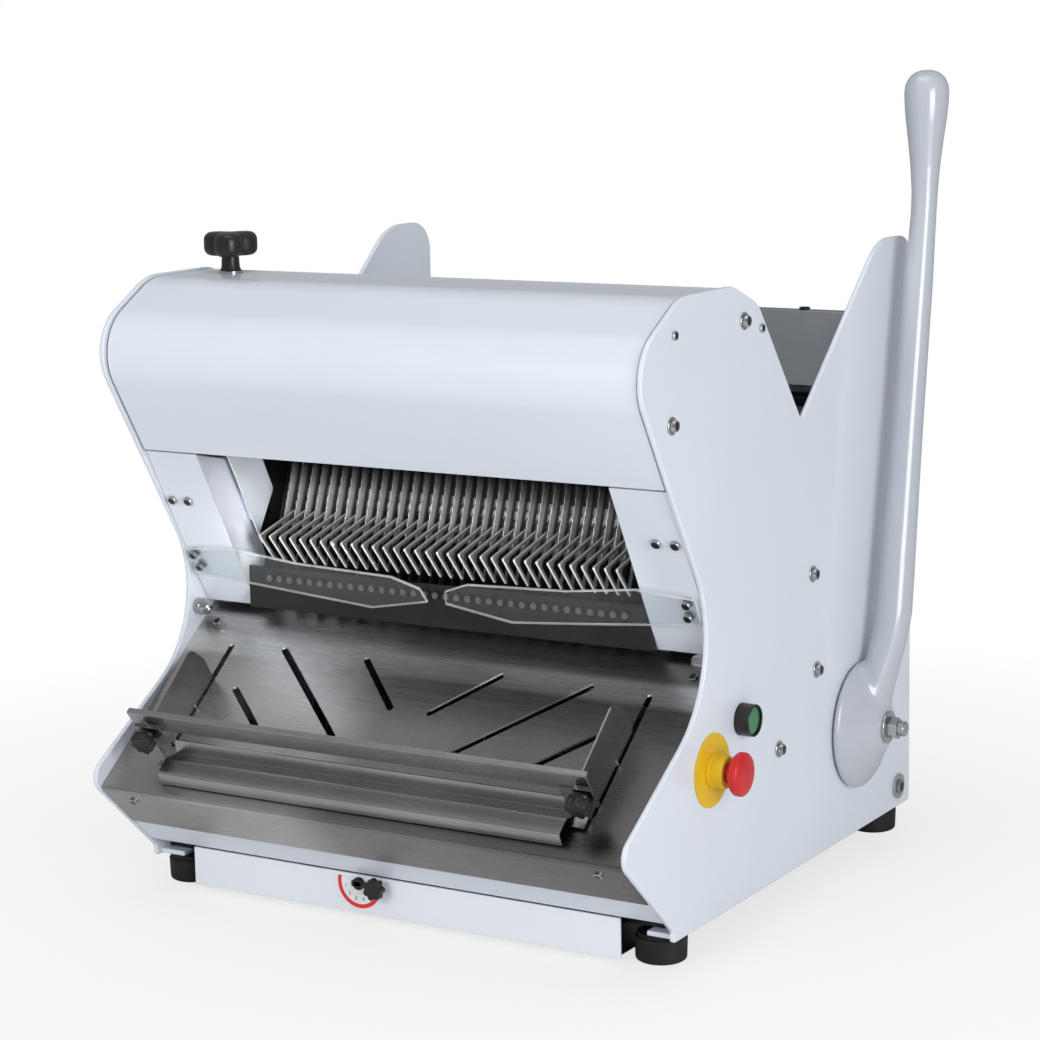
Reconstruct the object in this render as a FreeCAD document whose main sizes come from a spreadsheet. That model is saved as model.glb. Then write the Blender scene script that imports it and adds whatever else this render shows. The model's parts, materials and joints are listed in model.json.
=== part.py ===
"""Bench bread slicer with a feed lever: two side panels, a blade drive, a slotted tray and a pusher.

Machine axes: X across the machine from its mid-plane, Y from the front corner of the side panels to the
back, Z up from the floor. The exported parts are shifted so that the origin lies under the middle.
"""
import FreeCAD, Part
import math
import os
import re
from types import SimpleNamespace

Vector = FreeCAD.Vector
AXIS_X = Vector(1, 0, 0)
AXIS_Y = Vector(0, 1, 0)
AXIS_Z = Vector(0, 0, 1)

# ---------------------------------------------------------------- driving dimensions (mm, degrees)
SIZES = [
    ("body_width", 580, "over the outer faces of the side panels"),
    ("panel_thick", 5, "side panel sheet"),
    ("panel_bottom", 26, "underside of the side panels above the floor"),
    ("panel_depth", 522, "front corner to back edge of the side panels"),
    ("panel_top", 596, "flat top of the panels above the hood"),
    ("horn_top", 612, "top of the rear horns"),
    ("flange_width", 27, "bottom flange, inwards from the panel"),
    ("side_gap", 0.5, "gap between a cross piece and a side panel"),
    ("sheet_thick", 2, "folded sheet of hood, covers and jambs"),
    ("hood_inset", 2, "hood surface inside the panel outline"),
    ("nose_radius", 46.6, "front radius of the panel at the hood"),
    ("waist_radius", 105.7, "hollow below the hood"),
    ("bulge_radius", 16.6, "front corner at the tray lip"),
    ("foot_radius", 24, "rubber foot"),
    ("foot_inset", 28, "foot axis from the outer face of the panel"),
    ("foot_front", 28, "front feet axis"),
    ("foot_back", 492, "back feet axis"),
    ("tray_front_y", -83, "front fold of the tray"),
    ("tray_front_z", 115, "height of the front fold"),
    ("tray_slope", 37.74, "slope of the tray"),
    ("tray_length", 240, "front fold to back edge, along the slope"),
    ("tray_lip", 63, "front lip below the fold"),
    ("tray_thick", 1.5, "tray sheet"),
    ("tray_slot", 6, "width of the tray slots"),
    ("jamb_edge", 227, "inner edge of the jambs from the mid-plane"),
    ("jamb_top_z", 428, "top of the jambs, under the hood"),
    ("jamb_bottom_z", 266, "bottom of the jambs"),
    ("guard_thick", 3, "clear hand guard"),
    ("blade_pitch", 12, "slice thickness"),
    ("blade_count", 35, "blades in both frames"),
    ("blade_thick", 0.8, "blade thickness"),
    ("blade_depth", 15, "blade width, front to back"),
    ("blade_lean", 20, "lean of the blades, top to the back"),
    ("blade_y", 130, "blade line at the slicing comb"),
    ("blade_z", 362, "height of that point"),
    ("frame_bar", 12, "bars of the blade frames"),
    ("blade_stroke", 6, "travel of a frame each way"),
    ("guide_radius", 5, "guide rods"),
    ("running_fit", 0.08, "radial clearance of a running fit"),
    ("floor_slope", 14.5, "slope of the infeed floor and the tines"),
    ("tine_thick", 2.6, "tine of the slicing comb"),
    ("pivot_y", 391, "lever axis"),
    ("pivot_z", 137, "lever axis"),
    ("shaft_radius", 10, "lever shaft"),
    ("feed_radius", 160, "lever axis to the line of the carriage pins"),
    ("feed_swing", 50, "swing of the lever"),
    ("lever_hub_radius", 66, "hub of the lever"),
    ("lever_hub_rise", 30, "dome of the hub"),
    ("lever_height", 638, "pivot to the top of the grip"),
    ("lever_lean", 10, "lean of the lever and its arms at rest"),
    ("grip_radius", 22, "head of the lever"),
    ("rail_radius", 6, "carriage rails"),
    ("rail_reach", 256, "carriage rails from the mid-plane"),
    ("rail_rise", 45, "rails above the line of the pins"),
    ("eccentric_throw", 5, "throw of the eccentric"),
    ("rocker_arm", 60, "rocker axis to the link pins"),
    ("motor_y", 300, "motor axis"),
    ("motor_z", 100, "motor axis"),
    ("motor_radius", 50, "motor body"),
    ("drive_pulley_radius", 60, "pulley on the eccentric shaft"),
    ("motor_pulley_radius", 25, "pulley on the motor"),
    ("drawer_half", 237, "half width of the crumb drawer"),
    ("drawer_depth", 300, "depth of the crumb drawer"),
    ("drawer_bottom", 4, "drawer above the floor"),
    ("drawer_front_height", 38, "front of the drawer"),
    ("dial_radius", 26, "half-round dial plate"),
    ("button_y", 133, "start button axis"),
    ("button_z", 200, "start button axis"),
    ("button_radius", 15, "start button bezel"),
    ("stop_y", 74, "emergency stop axis"),
    ("stop_z", 166, "emergency stop axis"),
    ("stop_head_radius", 20, "emergency stop head"),
    ("stop_plate_radius", 34, "yellow plate of the emergency stop"),
    ("knob_x", -240, "hood knob axis"),
    ("knob_y", 94, "hood knob axis"),
    ("stop_bar_place", 50, "loaf stop bar from the front fold, along the tray"),
    ("stop_fin_x", 233, "fins of the loaf stop from the mid-plane"),
    ("origin_x", 24, "middle of the whole machine from its mid-plane"),
    ("origin_y", 222, "middle of the whole machine from the panel corner"),
]

doc = FreeCAD.newDocument("BreadSlicer")
sheet = doc.addObject("Spreadsheet::Sheet", "Sizes")
for row, (alias, value, note) in enumerate(SIZES, start=1):
    sheet.set(f"A{row}", alias)
    sheet.set(f"B{row}", str(value))
    sheet.set(f"C{row}", note)
    sheet.setAlias(f"B{row}", alias)
doc.recompute()
size = SimpleNamespace(**{alias: float(sheet.get(alias)) for alias, _, _ in SIZES})

HALF = size.body_width / 2
INNER = HALF - size.panel_thick
CROSS = INNER - size.side_gap
nodes = []


# ---------------------------------------------------------------- helpers
def rounded(points):
    """Lines and arcs of a closed outline of (a, b, radius) corners."""
    corners = [(Vector(p[0], p[1], 0), p[2] if len(p) > 2 else 0) for p in points]
    count = len(corners)
    cuts = []
    for i, (corner, radius) in enumerate(corners):
        to_last = (corners[i - 1][0] - corner).normalize()
        to_next = (corners[(i + 1) % count][0] - corner).normalize()
        if radius <= 0 or abs(to_last.cross(to_next).z) < 1e-6:
            cuts.append((corner, None, corner))
            continue
        half = to_last.getAngle(to_next) / 2
        reach = radius / math.tan(half)
        middle = corner + (to_last + to_next).normalize() * (radius / math.sin(half) - radius)
        cuts.append((corner + to_last * reach, middle, corner + to_next * reach))
    curves = []
    for i, (start, middle, end) in enumerate(cuts):
        if middle is not None:
            curves.append(Part.Arc(start, middle, end))
        following = cuts[(i + 1) % count][0]
        if (following - end).Length > 1e-6:
            curves.append(Part.LineSegment(end, following))
    return curves


def offset(points, distance):
    """The open path moved to its left by distance; its bends keep their centres."""
    path = [Vector(p[0], p[1], 0) for p in points]
    radii = [p[2] if len(p) > 2 else 0 for p in points]
    moved = []
    for i, point in enumerate(path):
        before = (point - path[i - 1]).normalize() if i > 0 else (path[1] - point).normalize()
        after = (path[i + 1] - point).normalize() if i + 1 < len(path) else before
        left_before = Vector(-before.y, before.x, 0)
        left_after = Vector(-after.y, after.x, 0)
        mitre = (left_before + left_after).normalize()
        step = distance / mitre.dot(left_before)
        turn = before.x * after.y - before.y * after.x
        radius = radii[i] - math.copysign(distance, turn) if radii[i] > 0 else 0
        place = point + mitre * step
        moved.append((place.x, place.y, max(radius, 0)))
    return moved


def strip(points, thick):
    """Closed outline of a folded sheet whose right-hand face is the path."""
    path = [(p[0], p[1], p[2] if len(p) > 2 else 0) for p in points]
    return path + offset(path, thick)[::-1]


def mapped(points, place):
    """The points of a local frame as (y, z, radius) points of the machine."""
    return [(*place(p[0], p[1]), p[2] if len(p) > 2 else 0) for p in points]


def prism(points, x_start, x_end):
    """Solid between two X planes from a (y, z, radius) outline."""
    edges = [curve.toShape() for curve in rounded(points)]
    face = Part.Face(Part.Wire(Part.__sortEdges__(edges)))
    turn = FreeCAD.Matrix(0, 0, 1, min(x_start, x_end), 1, 0, 0, 0, 0, 1, 0, 0, 0, 0, 0, 1)
    return face.transformGeometry(turn).extrude(AXIS_X * abs(x_end - x_start))


def rod(radius, x_start, x_end, y, z):
    """Cylinder along X."""
    return Part.makeCylinder(radius, abs(x_end - x_start), Vector(min(x_start, x_end), y, z), AXIS_X)


def pin(radius, start, end):
    """Cylinder between two points."""
    return Part.makeCylinder(radius, (end - start).Length, start, end - start)


def block(x_start, x_end, y_start, y_end, z_start, z_end):
    """Box between two corners."""
    return Part.makeBox(x_end - x_start, y_end - y_start, z_end - z_start, Vector(x_start, y_start, z_start))


def joined(*solids):
    """One solid out of touching ones."""
    return solids[0].multiFuse(list(solids[1:])).removeSplitter()


def mirrored(shape):
    """The shape on the other side of the mid-plane."""
    return shape.mirror(Vector(0, 0, 0), AXIS_X)


def keep(part, label):
    """Register a finished object as the sub-part of that label."""
    part.Label = label
    nodes.append(part)
    return part


def node(label, shape):
    """Sub-part from a shape made with Part's own functions."""
    part = doc.addObject("Part::Feature", label)
    part.Shape = shape
    return keep(part, label)


def sides(label, shape):
    """Right-hand sub-part and its mirrored left-hand twin."""
    right = node(label + "_right", shape)
    keep(twin(label + "_mirror", right), label + "_left")


def bind(part, **properties):
    """Tie properties to the sheet; a name in an expression is a size, and __ stands for a dot."""
    for name, text in properties.items():
        full = re.sub(r"[a-z_]+[0-9]?", lambda m: "Sizes." + m[0] if hasattr(size, m[0]) else m[0], str(text))
        part.setExpression(name.replace("__", "."), full)
    return part


def bound_box(name, x, y, z, length, width, height):
    """Box primitive bound to the sheet: a corner and three sizes."""
    part = doc.addObject("Part::Box", name)
    bind(part, Placement__Base__x=x, Placement__Base__y=y, Placement__Base__z=z)
    return bind(part, Length=length, Width=width, Height=height)


def bound_bar(name, radius, length, x, y, z):
    """Cylinder primitive along X bound to the sheet."""
    part = doc.addObject("Part::Cylinder", name)
    part.Placement = FreeCAD.Placement(Vector(), FreeCAD.Rotation(AXIS_Y, 90))
    bind(part, Placement__Base__x=x, Placement__Base__y=y, Placement__Base__z=z)
    return bind(part, Radius=radius, Height=length)


def fused(name, *parts):
    """Union of document objects."""
    union = doc.addObject("Part::MultiFuse", name)
    union.Shapes = list(parts)
    return union


def bored(name, base, tool):
    """First object less the second."""
    result = doc.addObject("Part::Cut", name)
    result.Base = base
    result.Tool = tool
    return result


def gathered(name, *parts):
    """Several solids that stay one sub-part."""
    group = doc.addObject("Part::Compound", name)
    group.Links = list(parts)
    return group


def twin(name, source):
    """Mirror image across the mid-plane."""
    mirror = doc.addObject("Part::Mirroring", name)
    mirror.Source = source
    mirror.Base = Vector(0, 0, 0)
    mirror.Normal = AXIS_X
    return mirror


def sketch_on(body, role, name, curves):
    """Sketch of closed curves on one of the body's own origin planes."""
    plane = [item for item in body.Origin.OriginFeatures if item.Role == role][0]
    sketch = body.newObject("Sketcher::SketchObject", name)
    sketch.AttachmentSupport = (plane, [""])
    sketch.MapMode = "FlatFace"
    sketch.addGeometry(curves, False)
    return sketch


def padded(name, curves, start, width):
    """Body padded along X from curves in the YZ plane; start and width are expressions."""
    body = doc.addObject("PartDesign::Body", name)
    profile = sketch_on(body, "YZ_Plane", name + "_profile", curves)
    pad = body.newObject("PartDesign::Pad", name + "_pad")
    pad.Profile = profile
    bind(pad, Length=width)
    return bind(body, Placement__Base__x=start)


def ring(radius, y, z):
    """Circle for a sketch in the YZ plane."""
    return [Part.Circle(Vector(y, z, 0), AXIS_Z, radius)]


FULL_START = "-(body_width / 2 - panel_thick - side_gap)"
FULL_WIDTH = "body_width - 2 * panel_thick - 2 * side_gap"


def folded(label, outline):
    """Folded sheet across the whole width between the side panels."""
    return keep(padded(label, rounded(outline), FULL_START, FULL_WIDTH), label)


# ---------------------------------------------------------------- local frames in the YZ plane
LEAN = math.radians(size.blade_lean)
SLOPE = math.radians(size.tray_slope)
FLOOR = math.radians(size.floor_slope)


def at_blade(up, back):
    """Along the blades and square to them, from the slicing comb."""
    return (size.blade_y + up * math.sin(LEAN) + back * math.cos(LEAN),
            size.blade_z + up * math.cos(LEAN) - back * math.sin(LEAN))


def at_tray(along, above):
    """Up the tray from its front fold, and above its surface."""
    return (size.tray_front_y + along * math.cos(SLOPE) - above * math.sin(SLOPE),
            size.tray_front_z + along * math.sin(SLOPE) + above * math.cos(SLOPE))


def at_rail(along, above):
    """Along the carriage travel (back and up) from the foot of the lever axis, above the pins."""
    reach = size.feed_radius + above
    return (size.pivot_y - reach * math.sin(FLOOR) + along * math.cos(FLOOR),
            size.pivot_z + reach * math.cos(FLOOR) + along * math.sin(FLOOR))


def blade_vector(x, up, back):
    return Vector(x, *at_blade(up, back))


def tray_vector(x, along, above):
    return Vector(x, *at_tray(along, above))


def rail_vector(x, along, above):
    return Vector(x, *at_rail(along, above))


# ---------------------------------------------------------------- side panels
WAIST_SLOPE = 1.662
WAIST_Y = 55.8
WAIST_Z = 339


def waist_y(z):
    """Front edge of the panel between the waist and the hood's nose."""
    return WAIST_Y - (z - WAIST_Z) / WAIST_SLOPE


nose = [(waist_y(size.panel_top - 52), size.panel_top - 52, size.nose_radius), (24, size.panel_top, 60)]
panel_outline = [
    (0, size.panel_bottom, 3), (0, size.panel_bottom + 10, 5), (-97.4, 127, size.bulge_radius),
    (106.7, 254.5, size.waist_radius), *nose,
    (122, size.panel_top, 40), (172, size.panel_top - 20, 45), (263, 457, 3),
    (440, size.horn_top + 1, 70), (size.panel_depth, size.horn_top, 32),
    (size.panel_depth, size.panel_bottom, 4),
]
shaft_bore = size.shaft_radius + 4


def side_panel(label, sign):
    """Panel sheet with the bore of the lever shaft's bush, and its inward bottom flange."""
    curves = rounded(panel_outline) + ring(shaft_bore, size.pivot_y, size.pivot_z)
    body = padded(label, curves, f"{sign} * (body_width / 2 - panel_thick)", "panel_thick")
    body.Tip.Reversed = sign < 0
    flange_top = size.panel_bottom + size.panel_thick
    flange = [(8, size.panel_bottom), (size.panel_depth - 8, size.panel_bottom),
              (size.panel_depth - 8, flange_top), (8, flange_top)]
    pad = body.newObject("PartDesign::Pad", label + "_flange_pad")
    pad.Profile = sketch_on(body, "YZ_Plane", label + "_flange", rounded(flange))
    pad.Reversed = sign > 0
    bind(pad, Length="flange_width")
    keep(body, label)


side_panel("side_panel_right", 1)
side_panel("side_panel_left", -1)

# ---------------------------------------------------------------- hood and covers
hood_back = 110
hood_path = [(waist_y(size.jamb_top_z + 1), size.jamb_top_z + 1), *nose, (hood_back, size.panel_top)]
folded("hood", strip(offset(hood_path, -size.hood_inset), -size.sheet_thick))

infeed_front_path = [(hood_back + 0.5, size.panel_top - 2), (124, size.panel_top - 2, 20), (169, 571, 30),
                     (243, 463)]
folded("infeed_front_sheet", strip(infeed_front_path, -size.sheet_thick))



def floor_z(y):
    """Top of the infeed floor."""
    return size.blade_z - 4 + (y - size.blade_y) * math.tan(FLOOR)


rear_foot_y = 290
rear_path = [(rear_foot_y, floor_z(rear_foot_y) + 2), (374, 548, 3), (384, 548)]
rear_sheet = padded("rear_sheet", rounded(strip(rear_path, -size.sheet_thick)), FULL_START, FULL_WIDTH)
notches = [bound_box(f"rear_notch_{i}", start, rear_foot_y - 10, 380, 80, 60, 100)
           for i, start in enumerate(["jamb_edge - 15", "-(jamb_edge - 15) - 80"])]
keep(bored("rear_sheet_cut", rear_sheet, fused("rear_notches", *notches)), "infeed_rear_sheet")
cover_back = size.panel_depth - 6
cover_path = [(384.5, 546), (cover_back - 4, 523, 12), (cover_back, size.panel_bottom + size.panel_thick + 4)]
folded("rear_cover", strip(cover_path, -size.sheet_thick))

# ring hanging over the rim of the rear sheet
rim_loop = doc.addObject("Part::Torus", "rim_loop")
bind(rim_loop, Radius1=4.2, Radius2=1.2, Placement__Base__x=238, Placement__Base__y=379,
     Placement__Base__z=549.3)
keep(rim_loop, "rim_loop")

# ---------------------------------------------------------------- base
plate_bottom = size.panel_bottom + size.panel_thick
plate_top = plate_bottom + 3
plate = bound_box("base_sheet", FULL_START, 20, "panel_bottom + panel_thick", FULL_WIDTH, "panel_depth - 32", 3)
window = bound_box("crumb_window", -200, 42, "panel_bottom", 400, 74, 12)
keep(bored("base_plate_cut", plate, window), "base_plate")

tie_rod_places = [(3, 487), (142, 563), (491, plate_top + 14)]
tie_rods = [bound_bar(f"tie_rod_{i}", 7, "body_width - 2 * panel_thick", "panel_thick - body_width / 2", y, z)
            for i, (y, z) in enumerate(tie_rod_places)]
keep(gathered("tie_rod_set", *tie_rods), "tie_rods")

feet = []
for sign in (1, -1):
    for end in ("foot_front", "foot_back"):
        foot = doc.addObject("Part::Cone", end)
        bind(foot, Radius1="foot_radius - 1.5", Radius2="foot_radius", Height="panel_bottom")
        bind(foot, Placement__Base__x=f"{sign} * (body_width / 2 - foot_inset)", Placement__Base__y=end)
        feet.append(foot)
keep(gathered("foot_set", *feet), "feet")

# ---------------------------------------------------------------- tray, lip and sill
fold = (size.tray_front_y, size.tray_front_z)
lip_angle = math.radians(-44)
lip_end = (fold[0] + size.tray_lip * math.cos(lip_angle), fold[1] + size.tray_lip * math.sin(lip_angle))
tray_path = [lip_end, (*fold, 4), at_tray(size.tray_length, 0)]
tray = padded("tray_sheet", rounded(strip(tray_path, -size.tray_thick)), FULL_START, FULL_WIDTH)


def tray_slot(x_high, y_high, x_low, y_low):
    """Round-ended slot seen from above, between two places on the tray."""
    start, end = Vector(x_high, y_high, 0), Vector(x_low, y_low, 0)
    along = (end - start).normalize()
    across = Vector(-along.y, along.x, 0) * (size.tray_slot / 2)
    along = along * (size.tray_slot / 2)
    return [Part.LineSegment(start + across, end + across), Part.Arc(end + across, end + along, end - across),
            Part.LineSegment(end - across, start - across),
            Part.Arc(start - across, start - along, start + across)]


slot_places = [(size.stop_fin_x, 64, size.stop_fin_x, -42), (171, 67, 66, -7), (75, 67, 22, 26),
               (200, 24, 155, -7)]
slot_curves = []
for x_high, y_high, x_low, y_low in slot_places:
    for sign in (1, -1):
        slot_curves += tray_slot(CROSS + sign * x_high, y_high, CROSS + sign * x_low, y_low)
slot_sketch = sketch_on(tray, "XY_Plane", "tray_slots", slot_curves)
bind(slot_sketch, AttachmentOffset__Base__z="tray_front_z + 4")
pocket = tray.newObject("PartDesign::Pocket", "tray_slot_pocket")
pocket.Profile = slot_sketch
pocket.Reversed = True
bind(pocket, Length="tray_length")
keep(tray, "discharge_tray")

tray_screw = pin(4.2, tray_vector(266, size.tray_length - 26, 0), tray_vector(266, size.tray_length - 26, 2.4))
tray_stud = rod(8.5, 266, INNER, 79, 262)
lip_out = Vector(0, math.sin(lip_angle), -math.cos(lip_angle))
lip_screw_seat = Vector(254, fold[0] + 17 * math.cos(lip_angle), fold[1] + 17 * math.sin(lip_angle))
lip_screw = pin(4.2, lip_screw_seat, lip_screw_seat + lip_out * 2.4)
tray_fasteners = [tray_screw, lip_screw, tray_stud]
node("tray_fasteners", Part.makeCompound(tray_fasteners + [mirrored(item) for item in tray_fasteners]))

sill_gap = 1.9
sill_top = (lip_end[0] - 8 * math.cos(lip_angle) - lip_out.y * sill_gap,
            lip_end[1] - 8 * math.sin(lip_angle) - lip_out.z * sill_gap)
sill_low = (-9.5, size.drawer_bottom + size.drawer_front_height + 4)
sill_path = [sill_top, (*sill_low, 3), (16, sill_low[1])]
folded("front_sill", strip(sill_path, size.tray_thick))

# ---------------------------------------------------------------- jambs, cheeks and guards
jamb_slope = 90 / 166


def jamb_y(z):
    """Front face of the jambs."""
    return 8 + (size.jamb_top_z - z) * jamb_slope


jamb_path = [(jamb_y(size.jamb_top_z), size.jamb_top_z), (jamb_y(size.jamb_bottom_z), size.jamb_bottom_z)]
jamb_start = "jamb_edge - sheet_thick"
jamb_face = padded("jamb_face", rounded(strip(jamb_path, size.sheet_thick)), jamb_start,
                   "body_width / 2 - panel_thick - side_gap - jamb_edge + sheet_thick")
return_outline = [(jamb_y(size.jamb_top_z) + 0.5, size.jamb_top_z), (56, size.jamb_top_z - 11),
                  (115, 313), (103, 278), (99, size.jamb_bottom_z),
                  (jamb_y(size.jamb_bottom_z) + 0.5, size.jamb_bottom_z)]
jamb_flange = padded("jamb_flange", rounded(return_outline), jamb_start, "sheet_thick")
jamb = keep(fused("jamb_plate", jamb_face, jamb_flange), "jamb_right")
keep(twin("jamb_mirror", jamb), "jamb_left")

cheek_outline = [(48, 421.5), (98, 425), (108, 404, 6), (121, 379, 6), (97, 340), (99.9, 327)]
cheek_sheet = padded("cheek_sheet", rounded(cheek_outline), "jamb_edge - 9.5", 1.5)
cheek_spacer = padded("cheek_spacer", rounded([(76, 380), (104, 380), (96, 352), (90, 352)]), "jamb_edge - 8",
                      "8 - sheet_thick")
cheek = fused("cheek_plate", cheek_sheet, cheek_spacer)
keep(gathered("cheek_pair", cheek, twin("cheek_mirror", cheek)), "cheek_plates")

jamb_out = Vector(0, -1, -jamb_slope).normalize()


def on_jamb(x, z, out=0.0):
    """Point on the jamb's front face, or in front of it."""
    return Vector(x, jamb_y(z), z) + jamb_out * out


guard_corners = [(CROSS - 2, 326), (224, 331), (170, 322), (100, 318), (86, 308), (84, 294), (118, 281),
                 (175, 288),
                 (CROSS - 2, 300)]
guard_gap = 3.2
guard_wire = Part.makePolygon([on_jamb(x, z, guard_gap) for x, z in guard_corners + guard_corners[:1]])
guard = Part.Face(guard_wire).extrude(jamb_out * size.guard_thick)
sides("hand_guard", guard)

jamb_bolts = [pin(4.6, on_jamb(x, 377), on_jamb(x, 377, 3.5)) for x in (276, 257)]
guard_bolt_seat = guard_gap + size.guard_thick
guard_bolt_places = ((273, 321), (271, 308))
guard_bolts = [pin(4.2, on_jamb(x, z, guard_bolt_seat), on_jamb(x, z, guard_bolt_seat + 3.2))
               for x, z in guard_bolt_places]
guard_spacers = [pin(5, on_jamb(x, z, 0.1), on_jamb(x, z, guard_gap - 0.1)) for x, z in guard_bolt_places]
bolts = jamb_bolts + guard_bolts + guard_spacers
node("jamb_and_guard_bolts", Part.makeCompound(bolts + [mirrored(bolt) for bolt in bolts]))

# ---------------------------------------------------------------- blade frames
bar = size.frame_bar
low_near, low_far = -64, -90
top_near, top_far = 118, 144
front_count = int(size.blade_count + 1) // 2
rear_count = int(size.blade_count) - front_count
front_xs = [(k - (front_count - 1) / 2) * 2 * size.blade_pitch for k in range(front_count)]
rear_xs = [(k - (rear_count - 1) / 2) * 2 * size.blade_pitch for k in range(rear_count)]
back_face = size.blade_depth / 2 + 2
slot_floor = back_face + 8
guide_back = 28


def blade_frame(post_inner, post_outer, low, top, blade_xs):
    """Two cross bars with blade slots, and a post with guide bushes at each end."""
    low_bar = prism(mapped([(low, back_face), (low, back_face + bar), (low + bar, back_face + bar),
                            (low + bar, back_face)], at_blade), -post_outer, post_outer)
    top_bar = prism(mapped([(top, -back_face), (top, -back_face - bar), (top + bar, -back_face - bar),
                            (top + bar, -back_face)], at_blade), -post_outer, post_outer)
    reach = back_face + bar + 1
    post_outline = mapped([(low, 4), (low, reach), (top + bar, reach), (top + bar, -reach), (top - 30, -reach),
                           (low + 60, 4)], at_blade)
    post = prism(post_outline, post_inner, post_outer)
    middle = (post_inner + post_outer) / 2
    bushes = [prism(mapped([(start, bar), (start, guide_back + 10, 3), (start + 22, guide_back + 10, 3),
                            (start + 22, bar)], at_blade),
                            middle - 10, middle + 10) for start in (low + bar, 100)]
    whole = joined(low_bar, top_bar, post, *bushes, mirrored(post), *[mirrored(bush) for bush in bushes])
    bore = pin(size.guide_radius + size.running_fit, blade_vector(middle, low - 30, guide_back),
               blade_vector(middle, top + 40, guide_back))
    whole = whole.cut(bore).cut(mirrored(bore))
    half = size.blade_thick / 2 + 0.1
    cuts = []
    for x in blade_xs:
        cuts.append(prism(mapped([(low - 1, back_face - 1), (low - 1, slot_floor), (low + bar + 1, slot_floor),
                                  (low + bar + 1, back_face - 1)], at_blade), x - half, x + half))
        cuts.append(prism(mapped([(top - 1, 1 - back_face), (top - 1, -slot_floor),
                                  (top + bar + 1, -slot_floor),
                                  (top + bar + 1, 1 - back_face)], at_blade), x - half, x + half))
    return whole.cut(Part.makeCompound(cuts)), middle


def blades(low, top, blade_xs):
    """Toothed strips, hooked into the slots of their two bars."""
    edge = size.blade_depth / 2
    outline = mapped([(low, -edge), (low, slot_floor), (low + bar, slot_floor), (low + bar, edge),
                      (top + bar, edge), (top + bar, -slot_floor), (top, -slot_floor), (top, -edge)], at_blade)
    half = size.blade_thick / 2
    return Part.makeCompound([prism(outline, x - half, x + half) for x in blade_xs])


front_frame, front_guide_x = blade_frame(230, 238, low_near, top_near, front_xs)
rear_frame, rear_guide_x = blade_frame(252, 260, low_far, top_far, rear_xs)
node("blades_front", blades(low_near, top_near, front_xs))
node("blades_rear", blades(low_far, top_far, rear_xs))

rod_low, rod_top = -108, 148
guide_rods = [pin(size.guide_radius, blade_vector(x, rod_low, guide_back), blade_vector(x, rod_top, guide_back))
              for x in (front_guide_x, rear_guide_x, -front_guide_x, -rear_guide_x)]

def guide_bracket(low, high, near, far):
    """Block between the rods and the side panel, bored for both rods."""
    outline = mapped([(low, near), (low, far), (high, far), (high, near)], at_blade)
    bracket = prism(outline, front_guide_x - 8, INNER)
    for x in (front_guide_x, rear_guide_x):
        bracket = bracket.cut(pin(size.guide_radius, blade_vector(x, low - 9, guide_back),
                                  blade_vector(x, high + 9, guide_back)))
    return bracket


brackets = [guide_bracket(-108, -97, 22.5, 38), guide_bracket(138, 148, 22.5, 38)]
node("guide_rods", Part.makeCompound(guide_rods + brackets + [mirrored(item) for item in brackets]))

# ---------------------------------------------------------------- slicing comb, floor and comb rail
tine_path = [(93, 313), (68, floor_z(68), 1.5), (176, floor_z(176))]
tine_outline = strip(tine_path, -3)
gap_xs = [(k - (size.blade_count - 2) / 2) * size.blade_pitch for k in range(int(size.blade_count) - 1)]
half_tine = size.tine_thick / 2
tines = [prism(tine_outline, x - half_tine, x + half_tine) for x in gap_xs]
root = prism([(174, floor_z(174)), (188, floor_z(188)), (188, floor_z(188) - 12), (174, floor_z(174) - 12)],
             -size.jamb_edge + 12, size.jamb_edge - 12)
node("slicing_comb", joined(root, *tines))

floor_path = [(188.3, floor_z(188.3)), (rear_foot_y + 1, floor_z(rear_foot_y + 1))]
floor_sheet = padded("floor_sheet", rounded(strip(floor_path, -size.sheet_thick)), "12 - jamb_edge",
                     "2 * (jamb_edge - 12)")
wall_outline = [(178, floor_z(178) - 14), (rear_foot_y - 4, floor_z(rear_foot_y - 4) - 14),
                (rear_foot_y - 4, floor_z(rear_foot_y - 4) + 30), (178, floor_z(178) + 30)]
chute_wall = padded("chute_wall", rounded(wall_outline), "jamb_edge - 12", "sheet_thick")
foot_outline = [(179, floor_z(179) - 14), (198, floor_z(198) - 14), (198, floor_z(198) - 12),
                (179, floor_z(179) - 12)]
chute_foot = padded("chute_foot", rounded(foot_outline), "jamb_edge - 10.5",
                    "body_width / 2 - panel_thick - jamb_edge + 10.5")
chute_side = fused("chute_side", chute_wall, chute_foot)
keep(gathered("floor_set", floor_sheet, chute_side, twin("chute_side_mirror", chute_side)), "infeed_floor")

rail_x = size.jamb_edge - size.sheet_thick - 0.3
comb_rail = prism([(86, 279), (89, 279), (89, 307), (86, 307)], -rail_x, rail_x)
comb_nuts = [Part.makeCylinder(3.2, 4, Vector(x, 86, 297), Vector(0, -1, 0)) for x in gap_xs]
node("comb_rail", joined(comb_rail, *comb_nuts))

# ---------------------------------------------------------------- lever, shaft and feed arms
hub_x = HALF + 2
dome_x = hub_x + size.lever_hub_rise
lever_tilt = math.radians(size.lever_lean)


def lever_axis(height):
    """Centre line of the arm: it leans back, then stands up towards the grip."""
    bend = 0.8 * size.lever_height
    lean = min(height, bend) * math.sin(lever_tilt) + max(height - bend, 0) * 0.035
    return size.pivot_y + lean, size.pivot_z + height


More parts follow.
